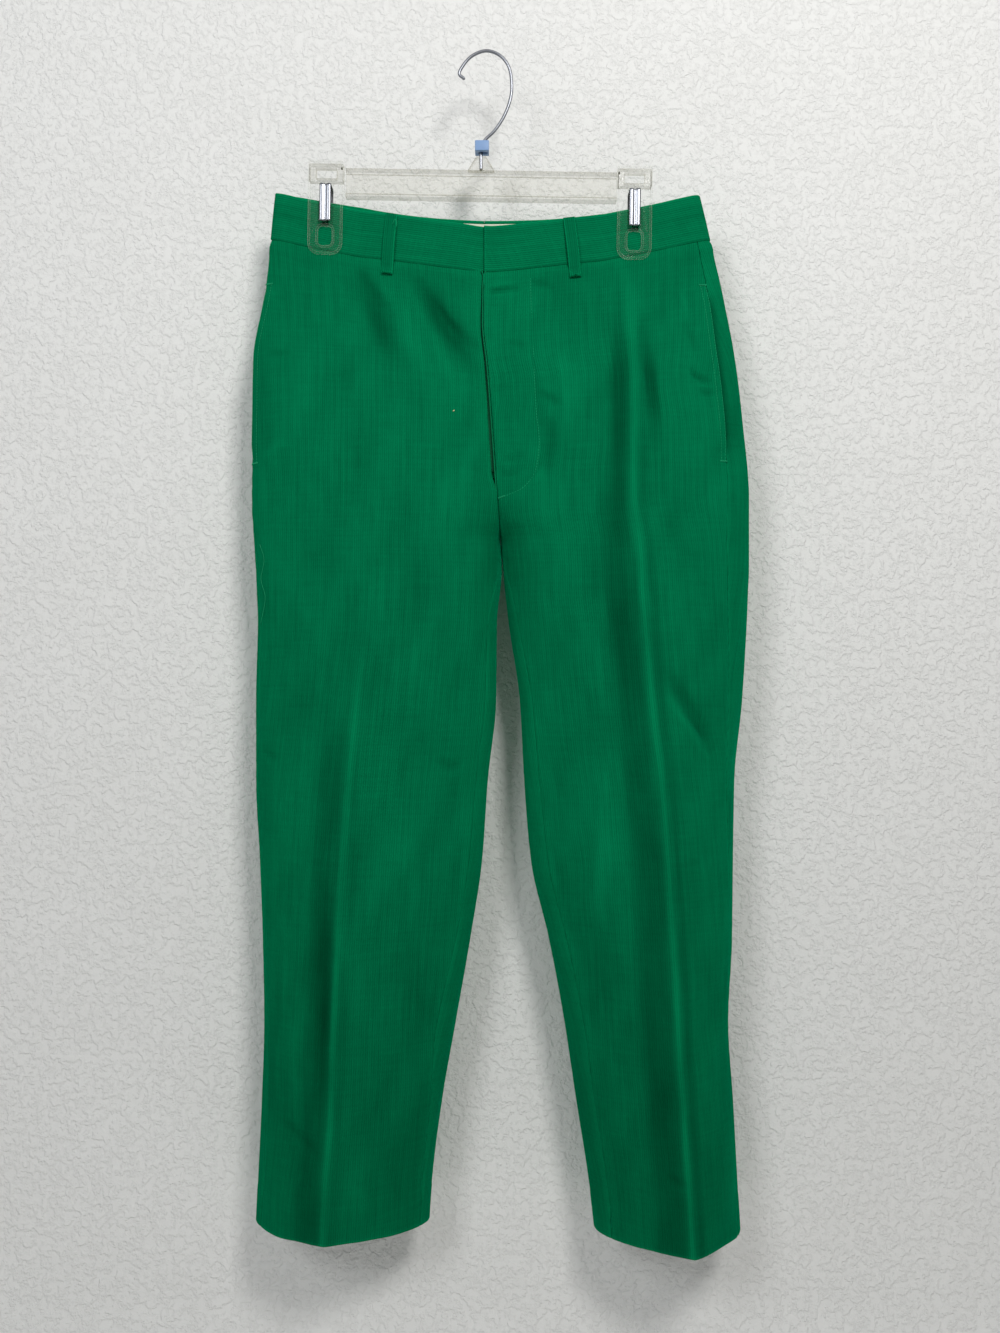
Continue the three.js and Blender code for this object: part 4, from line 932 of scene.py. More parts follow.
def corduroy_material(settings):
    """Pile ribs with dark channels, partly painted shade, brushed patches and faint cross streaks; the mesh's
    attribute makes rubbed edges and painted highlights paler, and painted shade darker.
    """
    material, tree, principled = new_material("corduroy_pile")
    cloth = add_node(tree, "ShaderNodeUVMap", uv_map="cloth").outputs[0]
    ribs = add_node(tree, "ShaderNodeGroup", node_tree=corduroy_ribs())
    tree.links.new(cloth, ribs.inputs["Map"])
    ribs.inputs["Pitch"].default_value = settings.wale_pitch
    colour = settings.cloth_colour
    patch = maths(tree, "MULTIPLY_ADD", ribs.outputs["Patch"], 0.95, -0.475)
    streak = maths(tree, "MULTIPLY_ADD", ribs.outputs["Streak"], 0.44, -0.22)
    # Channels between ribs darker: partly the bare ground between them, partly painted shade
    rib = maths(tree, "MULTIPLY_ADD", ribs.outputs["Rib"], 0.28, 0.20)
    uneven = maths(tree, "MULTIPLY", ribs.outputs["Uneven"], 0.72)
    tone = maths(tree, "ADD", maths(tree, "ADD", maths(tree, "ADD", rib, uneven), patch), streak)
    base = blended(tree, tone, shaded(colour, 0.42), shaded(colour, 1.12))
    # From the attribute: paler for rubbed wear and painted highlights, darker for painted shade and shadow and
    # towards the hem
    wear_and_shade = add_node(tree, "ShaderNodeAttribute", attribute_name="wear_and_shade").outputs["Fac"]
    paler_by_wear_and_light = maths(tree, "MULTIPLY", wear_and_shade, maths(tree, "MULTIPLY_ADD", ribs.outputs["Rib"], 0.5, 0.3))
    base = blended(tree, paler_by_wear_and_light, base, shaded(colour, 1.9))
    base = blended(tree, maths(tree, "MULTIPLY", wear_and_shade, -1.0), base, shaded(colour, 0.12))
    tree.links.new(base, principled.inputs["Base Color"])
    rough = maths(tree, "MULTIPLY_ADD", ribs.outputs["Patch"], 0.12, 0.80)
    tree.links.new(rough, principled.inputs["Roughness"])
    principled.inputs["Specular IOR Level"].default_value = 0.0
    principled.inputs["Sheen Weight"].default_value = 0.32
    principled.inputs["Sheen Roughness"].default_value = 0.30
    principled.inputs["Sheen Tint"].default_value = (0.0, 0.80, 0.38, 1)
    bump(tree, principled, ribs.outputs["Height"], 0.0004)
    return material


def woven_material(name, colour, count, slant, rough=0.9):
    """Flat woven cloth: the inside of the panels, the waistband facing and the zip tape."""
    material, tree, principled = new_material(name, Roughness=rough)
    cloth = add_node(tree, "ShaderNodeUVMap", uv_map="cloth").outputs[0]
    weave = add_node(tree, "ShaderNodeGroup", node_tree=woven_threads())
    tree.links.new(cloth, weave.inputs["Map"])
    weave.inputs["Count"].default_value = count
    weave.inputs["Slant"].default_value = slant
    slub = maths(tree, "MULTIPLY", weave.outputs["Slub"], 0.4)
    tone = maths(tree, "MULTIPLY_ADD", weave.outputs["Thread"], 0.7, slub)
    base = blended(tree, tone, shaded(colour, 0.72), shaded(colour, 1.08))
    tree.links.new(base, principled.inputs["Base Color"])
    principled.inputs["Specular IOR Level"].default_value = 0.2
    bump(tree, principled, weave.outputs["Thread"], 0.00012)
    return material


def thread_material(name, colour):
    """Sewing thread with a fine twist."""
    material, tree, principled = new_material(name, Roughness=0.7, Specular_IOR_Level=0.1)
    place = add_node(tree, "ShaderNodeTexCoord").outputs["Object"]
    twist = noise(tree, place, 2400.0, 1.0)
    base = blended(tree, twist, shaded(colour, 0.7), shaded(colour, 1.25))
    tree.links.new(base, principled.inputs["Base Color"])
    bump(tree, principled, twist, 0.0001)
    return material


def metal_material(name, colour, rough):
    """Bright metal with faint smudges and a fine drawn grain."""
    material, tree, principled = new_material(name, Metallic=1.0)
    place = add_node(tree, "ShaderNodeTexCoord").outputs["Object"]
    marks = add_node(tree, "ShaderNodeGroup", node_tree=surface_marks())
    tree.links.new(place, marks.inputs["Place"])
    base = blended(tree, marks.outputs["Smudge"], shaded(colour, 0.82), shaded(colour, 1.08))
    tree.links.new(base, principled.inputs["Base Color"])
    rough_out = maths(tree, "MULTIPLY_ADD", marks.outputs["Smudge"], 0.16, rough)
    tree.links.new(rough_out, principled.inputs["Roughness"])
    bump(tree, principled, marks.outputs["Grain"], 0.00002)
    return material


def plastic_material(name, colour, rough, clear):
    """Moulded plastic with handling marks. Clear plastic is see-through where it faces the eye and pale where
    it turns away, as a thin moulding's rims are."""
    material, tree, principled = new_material(name)
    place = add_node(tree, "ShaderNodeTexCoord").outputs["Object"]
    marks = add_node(tree, "ShaderNodeGroup", node_tree=surface_marks())
    tree.links.new(place, marks.inputs["Place"])
    base = blended(tree, marks.outputs["Smudge"], shaded(colour, 0.92), shaded(colour, 1.04))
    tree.links.new(base, principled.inputs["Base Color"])
    rough_out = maths(tree, "MULTIPLY_ADD", marks.outputs["Smudge"], 0.10, rough)
    tree.links.new(rough_out, principled.inputs["Roughness"])
    principled.inputs["IOR"].default_value = 1.49
    if clear is not None:
        facing = add_node(tree, "ShaderNodeLayerWeight", {"Blend": 0.5}).outputs["Facing"]
        edge = maths(tree, "MULTIPLY_ADD", maths(tree, "POWER", facing, 2.2), 0.80, clear)
        hazed = maths(tree, "MULTIPLY_ADD", marks.outputs["Smudge"], 0.007, edge)
        tree.links.new(hazed, principled.inputs["Alpha"])
    bump(tree, principled, marks.outputs["Grain"], 0.00003)
    return material


def made(name, maker, *values):
    """A material by name, made on first use."""
    return bpy.data.materials.get(name) or maker(*values)


def corduroy(settings):
    """The pile side of the cloth."""
    return made("corduroy_pile", corduroy_material, settings)


def corduroy_back(settings):
    """The plain twill side of the cloth."""
    colour = shaded(settings.cloth_colour, 0.9)
    return made("corduroy_back", woven_material, "corduroy_back", colour, 1300.0, 1.0)


def facing_cloth(settings):
    """Fine plain cream cotton."""
    return made("facing_cloth", woven_material, "facing_cloth", settings.facing_colour, 1700.0, 0.0)


def tape_weave(settings):
    """The zip tape's coarse dark twill."""
    return made("tape_weave", woven_material, "tape_weave", shaded(settings.cloth_colour, 0.5), 900.0, 1.0)


def green_thread():
    """Sewing thread in the cloth's colour."""
    return made("green_thread", thread_material, "green_thread", THREAD_COLOUR)


def clear_plastic(settings):
    """The clear plastic of the jaws."""
    return made("moulded_clear", plastic_material, "moulded_clear", settings.plastic_colour, 0.03, 0.001)


def tinted_plastic(settings):
    """The thicker, yellowed plastic of the bar, neck and housings."""
    return made("moulded_tinted", plastic_material, "moulded_tinted", settings.bar_colour, 0.03, 0.075)


def steel():
    """The bright steel of the hook and springs."""
    return made("steel", metal_material, "steel", STEEL_COLOUR, 0.26)


# Cloth pieces


def panel_relief(face, side, along, bases):
    """Relief of a panel along its normals: its seams, then the hem's stitched line and the swell of its doubled
    cloth, and the dip and uneven ease where it is sewn to the band."""
    relief = seam_relief(along, bases, face == "front")
    over_hem = bases[:, None] - HEM[side]
    relief -= HEM_RELIEF["stitch"] * bell(over_hem - HEM_TURN_UP, HEM_RELIEF["stitch_reach"])
    relief += HEM_RELIEF["swell"] * smooth_step(HEM_TURN_UP + 2, HEM_TURN_UP - 6, over_hem)
    below_band = WAIST_SEAM - bases[:, None]
    relief -= BAND_RELIEF["dip"] * smooth_step(3.5, -1.5, below_band)
    gathered = 0.7 + 0.3 * np.sin(along / 9 + 2 * np.sin(along / 37))
    return relief + bell(below_band - BAND_RELIEF["ease_at"], BAND_RELIEF["ease_reach"]) * gathered


def panel_wear_and_shade(face, side, points, from_crease, along, base):
    """Tone of a panel's pile: painted shade beside its crease with a painted highlight on the fold, its rubbed
    seams and hem, painted shade in the troughs of its folds and painted highlight on their ridges, a darker
    lower leg, and the painted shadow that the pocket's edge throws on the back."""
    crease_paint = CREASE_SHADE_AND_HIGHLIGHT[side]
    crease_paint_share = smooth_step(crease_paint["from"], crease_paint["full"], base)
    uneven = 0.75 + 0.25 * np.sin(base / 31 + 2 * np.sin(base / 87))
    aside = math.copysign(1, crease_paint["dark_at"])
    # Painted shade beside the crease, a painted highlight on its fold and a thin painted shade past it
    wear_and_shade = -crease_paint["dark"] * crease_paint_share * np.exp(-(((from_crease - crease_paint["dark_at"]) / crease_paint["band"]) ** 4))
    wear_and_shade += crease_paint["line"] * crease_paint_share * uneven * bell(from_crease - crease_paint["line_at"] * aside, crease_paint["line_reach"])
    wear_and_shade -= crease_paint["other"] * crease_paint_share * bell(from_crease + crease_paint["other_at"] * aside, crease_paint["other_reach"])
    wear_and_shade += EDGE_WEAR["outseam"] * bell(along, EDGE_WEAR["outseam_reach"])
    wear_and_shade += EDGE_WEAR["inseam"] * bell(along[:, -1:] - along, EDGE_WEAR["inseam_reach"])
    wear_and_shade += EDGE_WEAR["hem"] * bell(base - HEM[side], EDGE_WEAR["hem_reach"])
    # Painted shade in the troughs of the folds and painted highlight on their ridges
    wear_and_shade += fold_painted_shade(side, face, points[..., 0], base, points[..., 2])
    wear_and_shade -= FOLD_SHADE["low"] * smooth_step(FOLD_SHADE["from"], FOLD_SHADE["full"], base)
    # Painted shadow that the pocket's edge throws on the back
    if face == "back":
        behind = between(POCKET_OPEN["bottom"], POCKET_OPEN["top"], POCKET_SHADE["ends"], base)
        wear_and_shade -= behind * POCKET_SHADE["near"] * bell(along, POCKET_SHADE["near_reach"])
        wear_and_shade -= behind * POCKET_SHADE["wide"] * bell(along, POCKET_SHADE["wide_reach"])
    return wear_and_shade


def build_panel(side, face, settings):
    """A front or back: the outer grid with its relief, and a wall inwards of it, thicker where the hem is
    turned up and kept on its own side of the centre."""
    points, from_crease, along, bases = panel_grid(side, face)
    facing = np.zeros_like(points)
    facing[..., 1] = -1 if face == "front" else 1
    relief = panel_relief(face, side, along, bases)
    points = points + grid_normals(points, facing) * relief[..., None]
    normal = grid_normals(points, facing)
    base = bases[:, None]
    doubled = smooth_step(HEM_TURN_UP + 6, HEM_TURN_UP - 6, base - HEM[side])
    wall = settings.panel_wall / MM + HEM_RELIEF["doubled"] * doubled
    inner = points - normal * wall[..., None]
    limit = inner_x(side, base)
    crosses = (base > INSEAM_TOP) & ((inner[..., 0] - limit) * SIGN[side] < 0)
    kept = np.minimum(points[..., 0], limit) if side == "right" else limit
    inner[..., 0] = np.where(crosses, kept, inner[..., 0])
    uv = np.stack([from_crease, -np.broadcast_to(base, from_crease.shape)], axis=-1)
    wear_and_shade = panel_wear_and_shade(face, side, points, from_crease, along, base)
    name = f"{face}_{side}"
    cloths = (corduroy(settings), corduroy_back(settings))
    piece = add_cloth(f"{name}_cloth", points, inner, uv, cloths, name, wear_and_shade=wear_and_shade)
    return piece


def build_waistband(side, settings):
    """Half a waistband: rows round the side fold, from the centre back to the lap at the front."""
    sections = SECTIONS[side]
    bases = np.linspace(BAND_TOP, WAIST_SEAM + BAND_GAP, BAND["rows"])
    outer, centre = sections["outer"](bases), inner_x(side, bases)
    dense = 160
    back_x, front_x = x_values(centre, outer, dense, "end"), x_values(outer, centre, dense, "start")
    rows = [
        np.stack([back_x, face_y(side, "back", back_x, bases[:, None])], axis=-1),
        np.stack([front_x, face_y(side, "front", front_x, bases[:, None])], axis=-1)[:, 1:],
    ]
    if side == "right":
        lap_x = x_values(centre, np.full_like(centre, LAP["band_end"]), 30, "start")[:, 1:]
        rows.append(np.stack([lap_x, face_y("left", "front", lap_x, bases[:, None])], axis=-1))
    row = np.concatenate(rows, axis=1)
    on_front = np.concatenate([np.zeros(dense), np.ones(row.shape[1] - dense)])
    marked = np.concatenate([row, np.broadcast_to(on_front[None, :, None], row.shape[:2] + (1,))], axis=-1)
    lengths = arc_length(row)
    count = int(lengths.max() / BAND["column_step"])
    x, y, front = np.moveaxis(even_points(marked, lengths, count), -1, 0)
    base = bases[:, None]
    z = sagged(y, x, base)
    sink = np.zeros_like(y)
    if side == "right":
        sink = LAP["band_sink"] * (1 - smooth_step(0, LAP["reach"], centre[:, None] - x)) * (front > 0.5)
    points = np.stack([x, y + sink, z], axis=-1)
    facing = np.zeros_like(points)
    facing[..., 1] = np.where(front > 0.5, -1, 1)
    normal = grid_normals(points, facing)
    up = (BAND_TOP - base) / (BAND_TOP - WAIST_SEAM)
    puckers = 0.16 * np.sin(x / 5.3 + 2 * np.sin(x / 31)) * bell(1 - up, 0.18)
    relief = BAND["crown"] * np.sin(math.pi * np.clip(up, 0, 1)) + puckers
    points = points + normal * relief[..., None]
    inner = points - normal * BAND["wall"]
    along = np.linspace(0, 1, count)[None, :] * lengths[:, -1:]
    uv = np.stack([np.broadcast_to(-base, x.shape), along], axis=-1)
    wear_and_shade = 0.45 * bell(up, 0.05) + 0.25 * bell(lengths[:, -1:] - along, 1.6)
    name = f"waistband_{side}"
    cloths = (corduroy(settings), facing_cloth(settings))
    piece = add_cloth(f"{name}_cloth", points, inner, uv, cloths, name, wear_and_shade=wear_and_shade, steps=3, turned=2)
    return piece


def strip_grid(face, x_at, bases, depth, side=None):
    """Points and outward directions of a strip on a face: x_at gives a row of x values for each height."""
    x = np.array([x_at(base) for base in bases])
    base = np.broadcast_to(np.asarray(bases)[:, None], x.shape)
    depth = np.broadcast_to(depth, x.shape)
    if side:
        return surface(side, face, x, base, depth)
    on_right = x < inner_x("right", base)
    right, left = surface("right", face, x, base, depth), surface("left", face, x, base, depth)
    pick = on_right[..., None]
    return np.where(pick, right[0], left[0]), np.where(pick, right[1], left[1])


def build_strip(node, face, x_at, bases, sizes, cloths, side=None, lengthwise=True):
    """A strip of cloth under a face, a layer deep, with its map along or across it."""
    layer, wall = sizes["layer"], sizes["wall"]
    outer, normal = strip_grid(face, x_at, bases, layer, side)
    inner = outer - normal * wall
    across, down = arc_length(outer), arc_length(np.swapaxes(outer, 0, 1)).T
    uv = np.stack([across, down] if lengthwise else [down, across], axis=-1)
    piece = add_cloth(f"{node}_cloth", outer, inner, uv, cloths, node)
    return piece


def build_belt_loop(node, face, side, x, lean, settings):
    """A belt loop: a strap that leans a little across the band, bowed off it as a sine squared and crowned
    across, with its lower end turned under. Its folded edges are rubbed pale and its middle lies darker."""
    across, down = 11, 36
    t = np.linspace(0, 1, down)[:, None]
    bases = np.linspace(LOOP["top"], LOOP["bottom"], down)
    side_to_side = np.linspace(-1, 1, across)[None, :]
    rows = dict(zip(bases.tolist(), x + lean * (t - 0.5) + side_to_side * LOOP["width"] / 2))
    lift = LOOP["lift"] + LOOP["bow"] * np.sin(math.pi * t) ** 2
    crown = 0.55 * (1 - side_to_side**4) - 0.25 * bell(np.abs(side_to_side) - 0.62, 0.1)
    foot = 0.7 * smooth_step(0.90, 0.97, t) - 0.5 * bell(t - 0.875, 0.02)
    top = lift + LOOP["wall"] - 0.5 + crown + foot
    outer, _ = strip_grid(face, lambda base: rows[base], bases, -top, side)
    inner, _ = strip_grid(face, lambda base: rows[base], bases, -lift, side)
    uv = np.stack(np.broadcast_arrays(side_to_side * LOOP["width"] / 2, -bases[:, None]), axis=-1)
    wear_and_shade = 0.55 * np.abs(side_to_side) ** 8 - 0.14 * (1 - side_to_side**2) + 0.3 * smooth_step(0.93, 1.0, t)
    cloths = (corduroy(settings), corduroy(settings))
    piece = add_cloth(f"{node}_cloth", outer, inner, uv, cloths, node, wear_and_shade=wear_and_shade)
    return piece


# Sewing


def even_along(points, pitch):
    """Places and directions every pitch along a line of points."""
    along = arc_length(points[None])[0]
    at = np.arange(pitch / 2, along[-1], pitch)
    place = np.stack([np.interp(at, along, points[:, axis]) for axis in range(points.shape[1])], axis=-1)
    further = np.stack([np.interp(at + 0.2, along, points[:, axis]) for axis in range(3)], axis=-1)
    return place, unit(further - place[:, :3] + 1e-9)


def beads(place, ahead, out, length, width, height):
    """Small ellipsoids: rings of six points between two poles, stretched along, across and out."""
    turn = np.linspace(0, 2 * math.pi, 7)[:-1]
    rings = [(-0.78, 0.62), (0.0, 1.0), (0.78, 0.62)]
    local = [np.stack([np.full(6, a), r * np.cos(turn), r * np.sin(turn)], axis=-1) for a, r in rings]
    local = np.concatenate([[[-1.0, 0, 0]], *local, [[1.0, 0, 0]]])
    sideways = unit(np.cross(out, ahead))
    sizes = np.array([length, width, height]) / 2
    scaled = local * sizes
    points = (
        place[:, None] + ahead[:, None] * scaled[None, :, :1]
        + sideways[:, None] * scaled[None, :, 1:2] + out[:, None] * scaled[None, :, 2:]
    )
    ring = np.arange(6)
    after = (ring + 1) % 6
    faces = [np.stack([np.zeros(6, int), 1 + after, 1 + ring, 1 + ring], axis=-1)]
    for start in (1, 7):
        faces.append(np.stack([start + ring, start + after, start + 6 + after, start + 6 + ring], axis=-1))
    faces.append(np.stack([13 + ring, 13 + after, np.full(6, 19), np.full(6, 19)], axis=-1))
    template = np.concatenate(faces)
    all_faces = template[None] + (np.arange(len(place)) * 20)[:, None, None]
    return points.reshape(-1, 3), all_faces.reshape(-1, 4)


def stitch_row(side, face, x, z, pitch=2.9, length=2.3, width=0.65, lift=0.1):
    """Stitches along a line on a face, given by x and z in the row's order, lifted with the cloth."""
    base = base_at(side, face, x, z)
    point, out = surface(side, face, x, base)
    point = point + out * np.broadcast_to(lift, len(out))[:, None]
    place, ahead = even_along(np.concatenate([point, out], axis=-1), pitch)
    return beads(place[:, :3], ahead, unit(place[:, 3:]), length, width, 0.5)


def pocket_gape(bases, away):
    """How far a pocket's edge stands off the body: a bell across from the edge, let in at both bar tacks."""
    opened = between(POCKET_OPEN["bottom"], POCKET_OPEN["top"], POCKET_OPEN["ends"], bases)
    return POCKET_OPEN["gape"] * opened * bell(away, POCKET_OPEN["reach"])


def bar_tack(side, face, x, z, length, lean=0.0):
    """A short satin bar: close stitches side by side across a line."""
    xs = np.linspace(x - length / 2, x + length / 2, int(length / 0.55))
    zs = z + lean * (xs - x)
    point, out = surface(side, face, xs, base_at(side, face, xs, zs))
    ahead = unit(np.gradient(point, axis=0))
    across = unit(np.cross(out, ahead))
    return beads(point + out * 0.35, across, out, 1.9, 0.6, 0.6)


def add_beads(name, groups, material):
    """One piece from many groups of stitches, the doubled corner of each triangle dropped."""
    parts = []
    for points, faces in groups:
        parts.append((points, [list(dict.fromkeys(face)) for face in faces.tolist()], material))
    return add_piece(name, merged_mesh(name, parts), ())


def bent_line(points, count):
    """Smooth line through a few points, each coordinate a smooth curve over the length so far."""
    points = np.asarray(points, float)
    along = arc_length(points[None])[0]
    at = np.linspace(0, along[-1], count)
    return np.stack([smooth_curve(along, points[:, axis])(at) for axis in range(points.shape[1])], axis=-1)


def catmull_line(points, per_span):
    """Centripetal Catmull-Rom curve through points, in spans between each two."""
    points = np.asarray(points, float)
    ends = np.concatenate([[2 * points[0] - points[1]], points, [2 * points[-1] - points[-2]]])
    t = np.linspace(0, 1, per_span, endpoint=False)[:, None]
    spans = []
    for i in range(1, len(ends) - 2):
        p0, p1, p2, p3 = ends[i - 1:i + 3]
        k0, k1, k2 = (math.sqrt(math.dist(a, b)) for a, b in ((p0, p1), (p1, p2), (p2, p3)))
        m1 = (p1 - p0) / k0 - (p2 - p0) / (k0 + k1) + (p2 - p1) / k1
        m2 = (p2 - p1) / k1 - (p3 - p1) / (k1 + k2) + (p3 - p2) / k2
        m1, m2 = m1 * k1, m2 * k1
        h = (2 * t**3 - 3 * t**2 + 1, t**3 - 2 * t**2 + t, -2 * t**3 + 3 * t**2, t**3 - t**2)
        spans.append(h[0] * p1 + h[1] * m1 + h[2] * p2 + h[3] * m2)
    return np.concatenate([*spans, points[-1:]])


def tube(path, radius, sides):
    """Round section carried along a path, turned as little as possible, with domed ends."""
    path = np.asarray(path, float)
    ahead = unit(np.gradient(path, axis=0))
    side = np.empty_like(path)
    start = np.array([0.0, 1.0, 0.0]) if abs(ahead[0][1]) < 0.9 else np.array([1.0, 0.0, 0.0])
    side[0] = unit(np.cross(ahead[0], start))
    for i in range(1, len(path)):
        side[i] = unit(side[i - 1] - ahead[i] * (side[i - 1] @ ahead[i]))
    other = np.cross(ahead, side)
    turn = np.linspace(0, 2 * math.pi, sides, endpoint=False)
    radii = np.full(len(path), float(radius))
    dome = np.array([0.35, 0.75])
    before = [path[0] - ahead[0] * radius * past for past in (0.9, 0.6)]
    after = [path[-1] + ahead[-1] * radius * past for past in (0.6, 0.9)]
    path = np.concatenate([before, path, after])
    radii = np.concatenate([dome * radius, radii, dome[::-1] * radius])
    side, other = np.pad(side, ((2, 2), (0, 0)), "edge"), np.pad(other, ((2, 2), (0, 0)), "edge")
    ring = np.cos(turn)[None, :, None] * side[:, None] + np.sin(turn)[None, :, None] * other[:, None]
    points = path[:, None] + ring * radii[:, None, None]
    rows = len(path)
    ids = np.arange(rows * sides).reshape(rows, sides)
    ids = np.concatenate([ids, ids[:, :1]], axis=1)
    faces = quads(ids).tolist()
    poles = np.stack([path[0] - ahead[0] * radius * 0.1, path[-1] + ahead[-1] * radius * 0.1])
    count = rows * sides
    faces += [[count, ids[0, i + 1], ids[0, i]] for i in range(sides)]
    faces += [[count + 1, ids[-1, i], ids[-1, i + 1]] for i in range(sides)]
    return np.concatenate([points.reshape(-1, 3), poles]), faces


# Hanger pieces


def tilted(points):
    """Points turned with the hanger about the middle of its bar."""
    x, z = points[:, 0] - HANGER_X, points[:, 2] - BAR["top"]
    cosine, sine = math.cos(HANGER_TILT), math.sin(HANGER_TILT)
    turned = points.copy()
    turned[:, 0] = HANGER_X + x * cosine + z * sine
    turned[:, 2] = BAR["top"] - x * sine + z * cosine
    return turned


def rounded_outline(left, right, bottom, top, radius, top_radius=None, steps=6):
    """Rectangle in x and z with quarter circles at its corners."""
    top_radius = radius if top_radius is None else top_radius
    turn = np.linspace(0, math.pi / 2, steps + 1)
    corners = (
        (right - radius, bottom + radius, radius, -math.pi / 2),
        (right - top_radius, top - top_radius, top_radius, 0),
        (left + top_radius, top - top_radius, top_radius, math.pi / 2),
        (left + radius, bottom + radius, radius, math.pi),
    )
    arcs = []
    for x, z, r, start in corners:
        arcs.append(np.stack([x + r * np.cos(start + turn), z + r * np.sin(start + turn)], axis=-1))
    return np.concatenate(arcs)


def bevelled_plate(outlines, from_y, to_y, edge=0.4):
    """Plate between two depths, from an outline and its holes: a flat filled curve with rounded edges."""
    curve = bpy.data.curves.new("plate", "CURVE")
    curve.dimensions, curve.fill_mode = "2D", "BOTH"
    curve.extrude = max((to_y - from_y) / 2 - edge, 0.01) * MM
    curve.bevel_depth, curve.bevel_resolution, curve.offset = edge * MM, 2, -edge * MM
    for outline in outlines:
        spline = curve.splines.new("POLY")
        spline.points.add(len(outline) - 1)
        flat = np.zeros((len(outline), 4))
        flat[:, 0], flat[:, 1], flat[:, 3] = outline[:, 0] * MM, outline[:, 1] * MM, 1
        spline.points.foreach_set("co", flat.ravel())
        spline.use_cyclic_u = True
    holder = bpy.data.objects.new("plate", curve)
    bpy.context.scene.collection.objects.link(holder)
    bpy.context.view_layer.update()
    mesh = bpy.data.meshes.new_from_object(holder.evaluated_get(bpy.context.evaluated_depsgraph_get()))
    points = np.empty(len(mesh.vertices) * 3)
    mesh.vertices.foreach_get("co", points)
    points = points.reshape(-1, 3) / MM
    faces = [list(polygon.vertices) for polygon in mesh.polygons]
    bpy.data.objects.remove(holder)
    bpy.data.curves.remove(curve)
    bpy.data.meshes.remove(mesh)
    placed = np.stack([points[:, 0], (from_y + to_y) / 2 - points[:, 2], points[:, 1]], axis=-1)
    return placed, faces


def swept_profile(profile, from_x, to_x):
    """Closed outline in y and z carried along x, with its two ends filled."""
    count = len(profile)
    ends = [np.column_stack([np.full(count, x), profile]) for x in (from_x, to_x)]
    ring = np.arange(count)
    after = (ring + 1) % count
    faces = np.stack([ring, after, after + count, ring + count], axis=-1).tolist()
    faces += [ring[::-1].tolist(), (ring + count).tolist()]
    return np.concatenate(ends), faces


def rounded_profile(corners, radius, steps=5):
    """Polygon with each corner cut by a short quadratic curve that starts and ends on its two sides."""
    corners = np.asarray(corners, float)
    before, after = np.roll(corners, 1, axis=0), np.roll(corners, -1, axis=0)
    start, end = corners + unit(before - corners) * radius, corners + unit(after - corners) * radius
    t = np.linspace(0, 1, steps + 1)[None, :, None]
    curve = (1 - t) ** 2 * start[:, None] + 2 * t * (1 - t) * corners[:, None] + t * t * end[:, None]
    return curve.reshape(-1, 2)


def mesh_piece(name, parts, nodes):
    """A hard piece from (points, faces, material) parts, welded, its faces turned outwards, and its edges
    sharper than an angle left hard."""
    mesh = merged_mesh(name, parts)
    work = bmesh.new()
    work.from_mesh(mesh)
    bmesh.ops.remove_doubles(work, verts=work.verts, dist=1e-6)
    bmesh.ops.recalc_face_normals(work, faces=work.faces)
    work.to_mesh(mesh)
    work.free()
    mesh.set_sharp_from_angle(angle=HARD_EDGE)
    return add_piece(name, mesh, nodes)


def bar_corners():
    """The bar's section in y and z: a web with a flange along its top and another along its foot."""
    half, web = BAR["depth"] / 2, BAR["web"] / 2
    top, low = BAR["top"], BAR["top"] - BAR["height"]
    under, over = top - BAR["flange"], low + BAR["flange"]
    front = ((-half, top), (-half, under), (-web, under), (-web, over), (-half, over), (-half, low))
    return front + tuple((-y, z) for y, z in reversed(front))


def neck_corners():
    """The neck's outline in x and z: a fin that narrows upwards, with a notch for the hook's foot."""
    foot = BAR["top"] + SEAM_GAP
    top, floor = foot + NECK["height"], foot + NECK["floor"]
    x, notch = NECK["x"], NECK["notch"] / 2
    wide, narrow = NECK["foot_width"] / 2, NECK["top_width"] / 2
    return (
        (x - wide, foot), (x + wide, foot), (x + narrow, top), (x + notch, top),
        (x + notch, floor), (x - notch, floor), (x - notch, top), (x - narrow, top),
    )


def housing(x):
    """A clip's hollow block round the bar."""
    half, top = CLIP["width"] / 2, CLIP["top"] - 1
    low = top - CLIP["block_height"]
    outline = rounded_outline(x - half, x + half, low, top, 0.8)
    hollow = rounded_outline(x - half + 7, x + half - 7, low + 3, top - 4, 0.8)
    return bevelled_plate([outline, hollow], CLIP["block_from"], CLIP["block_to"])


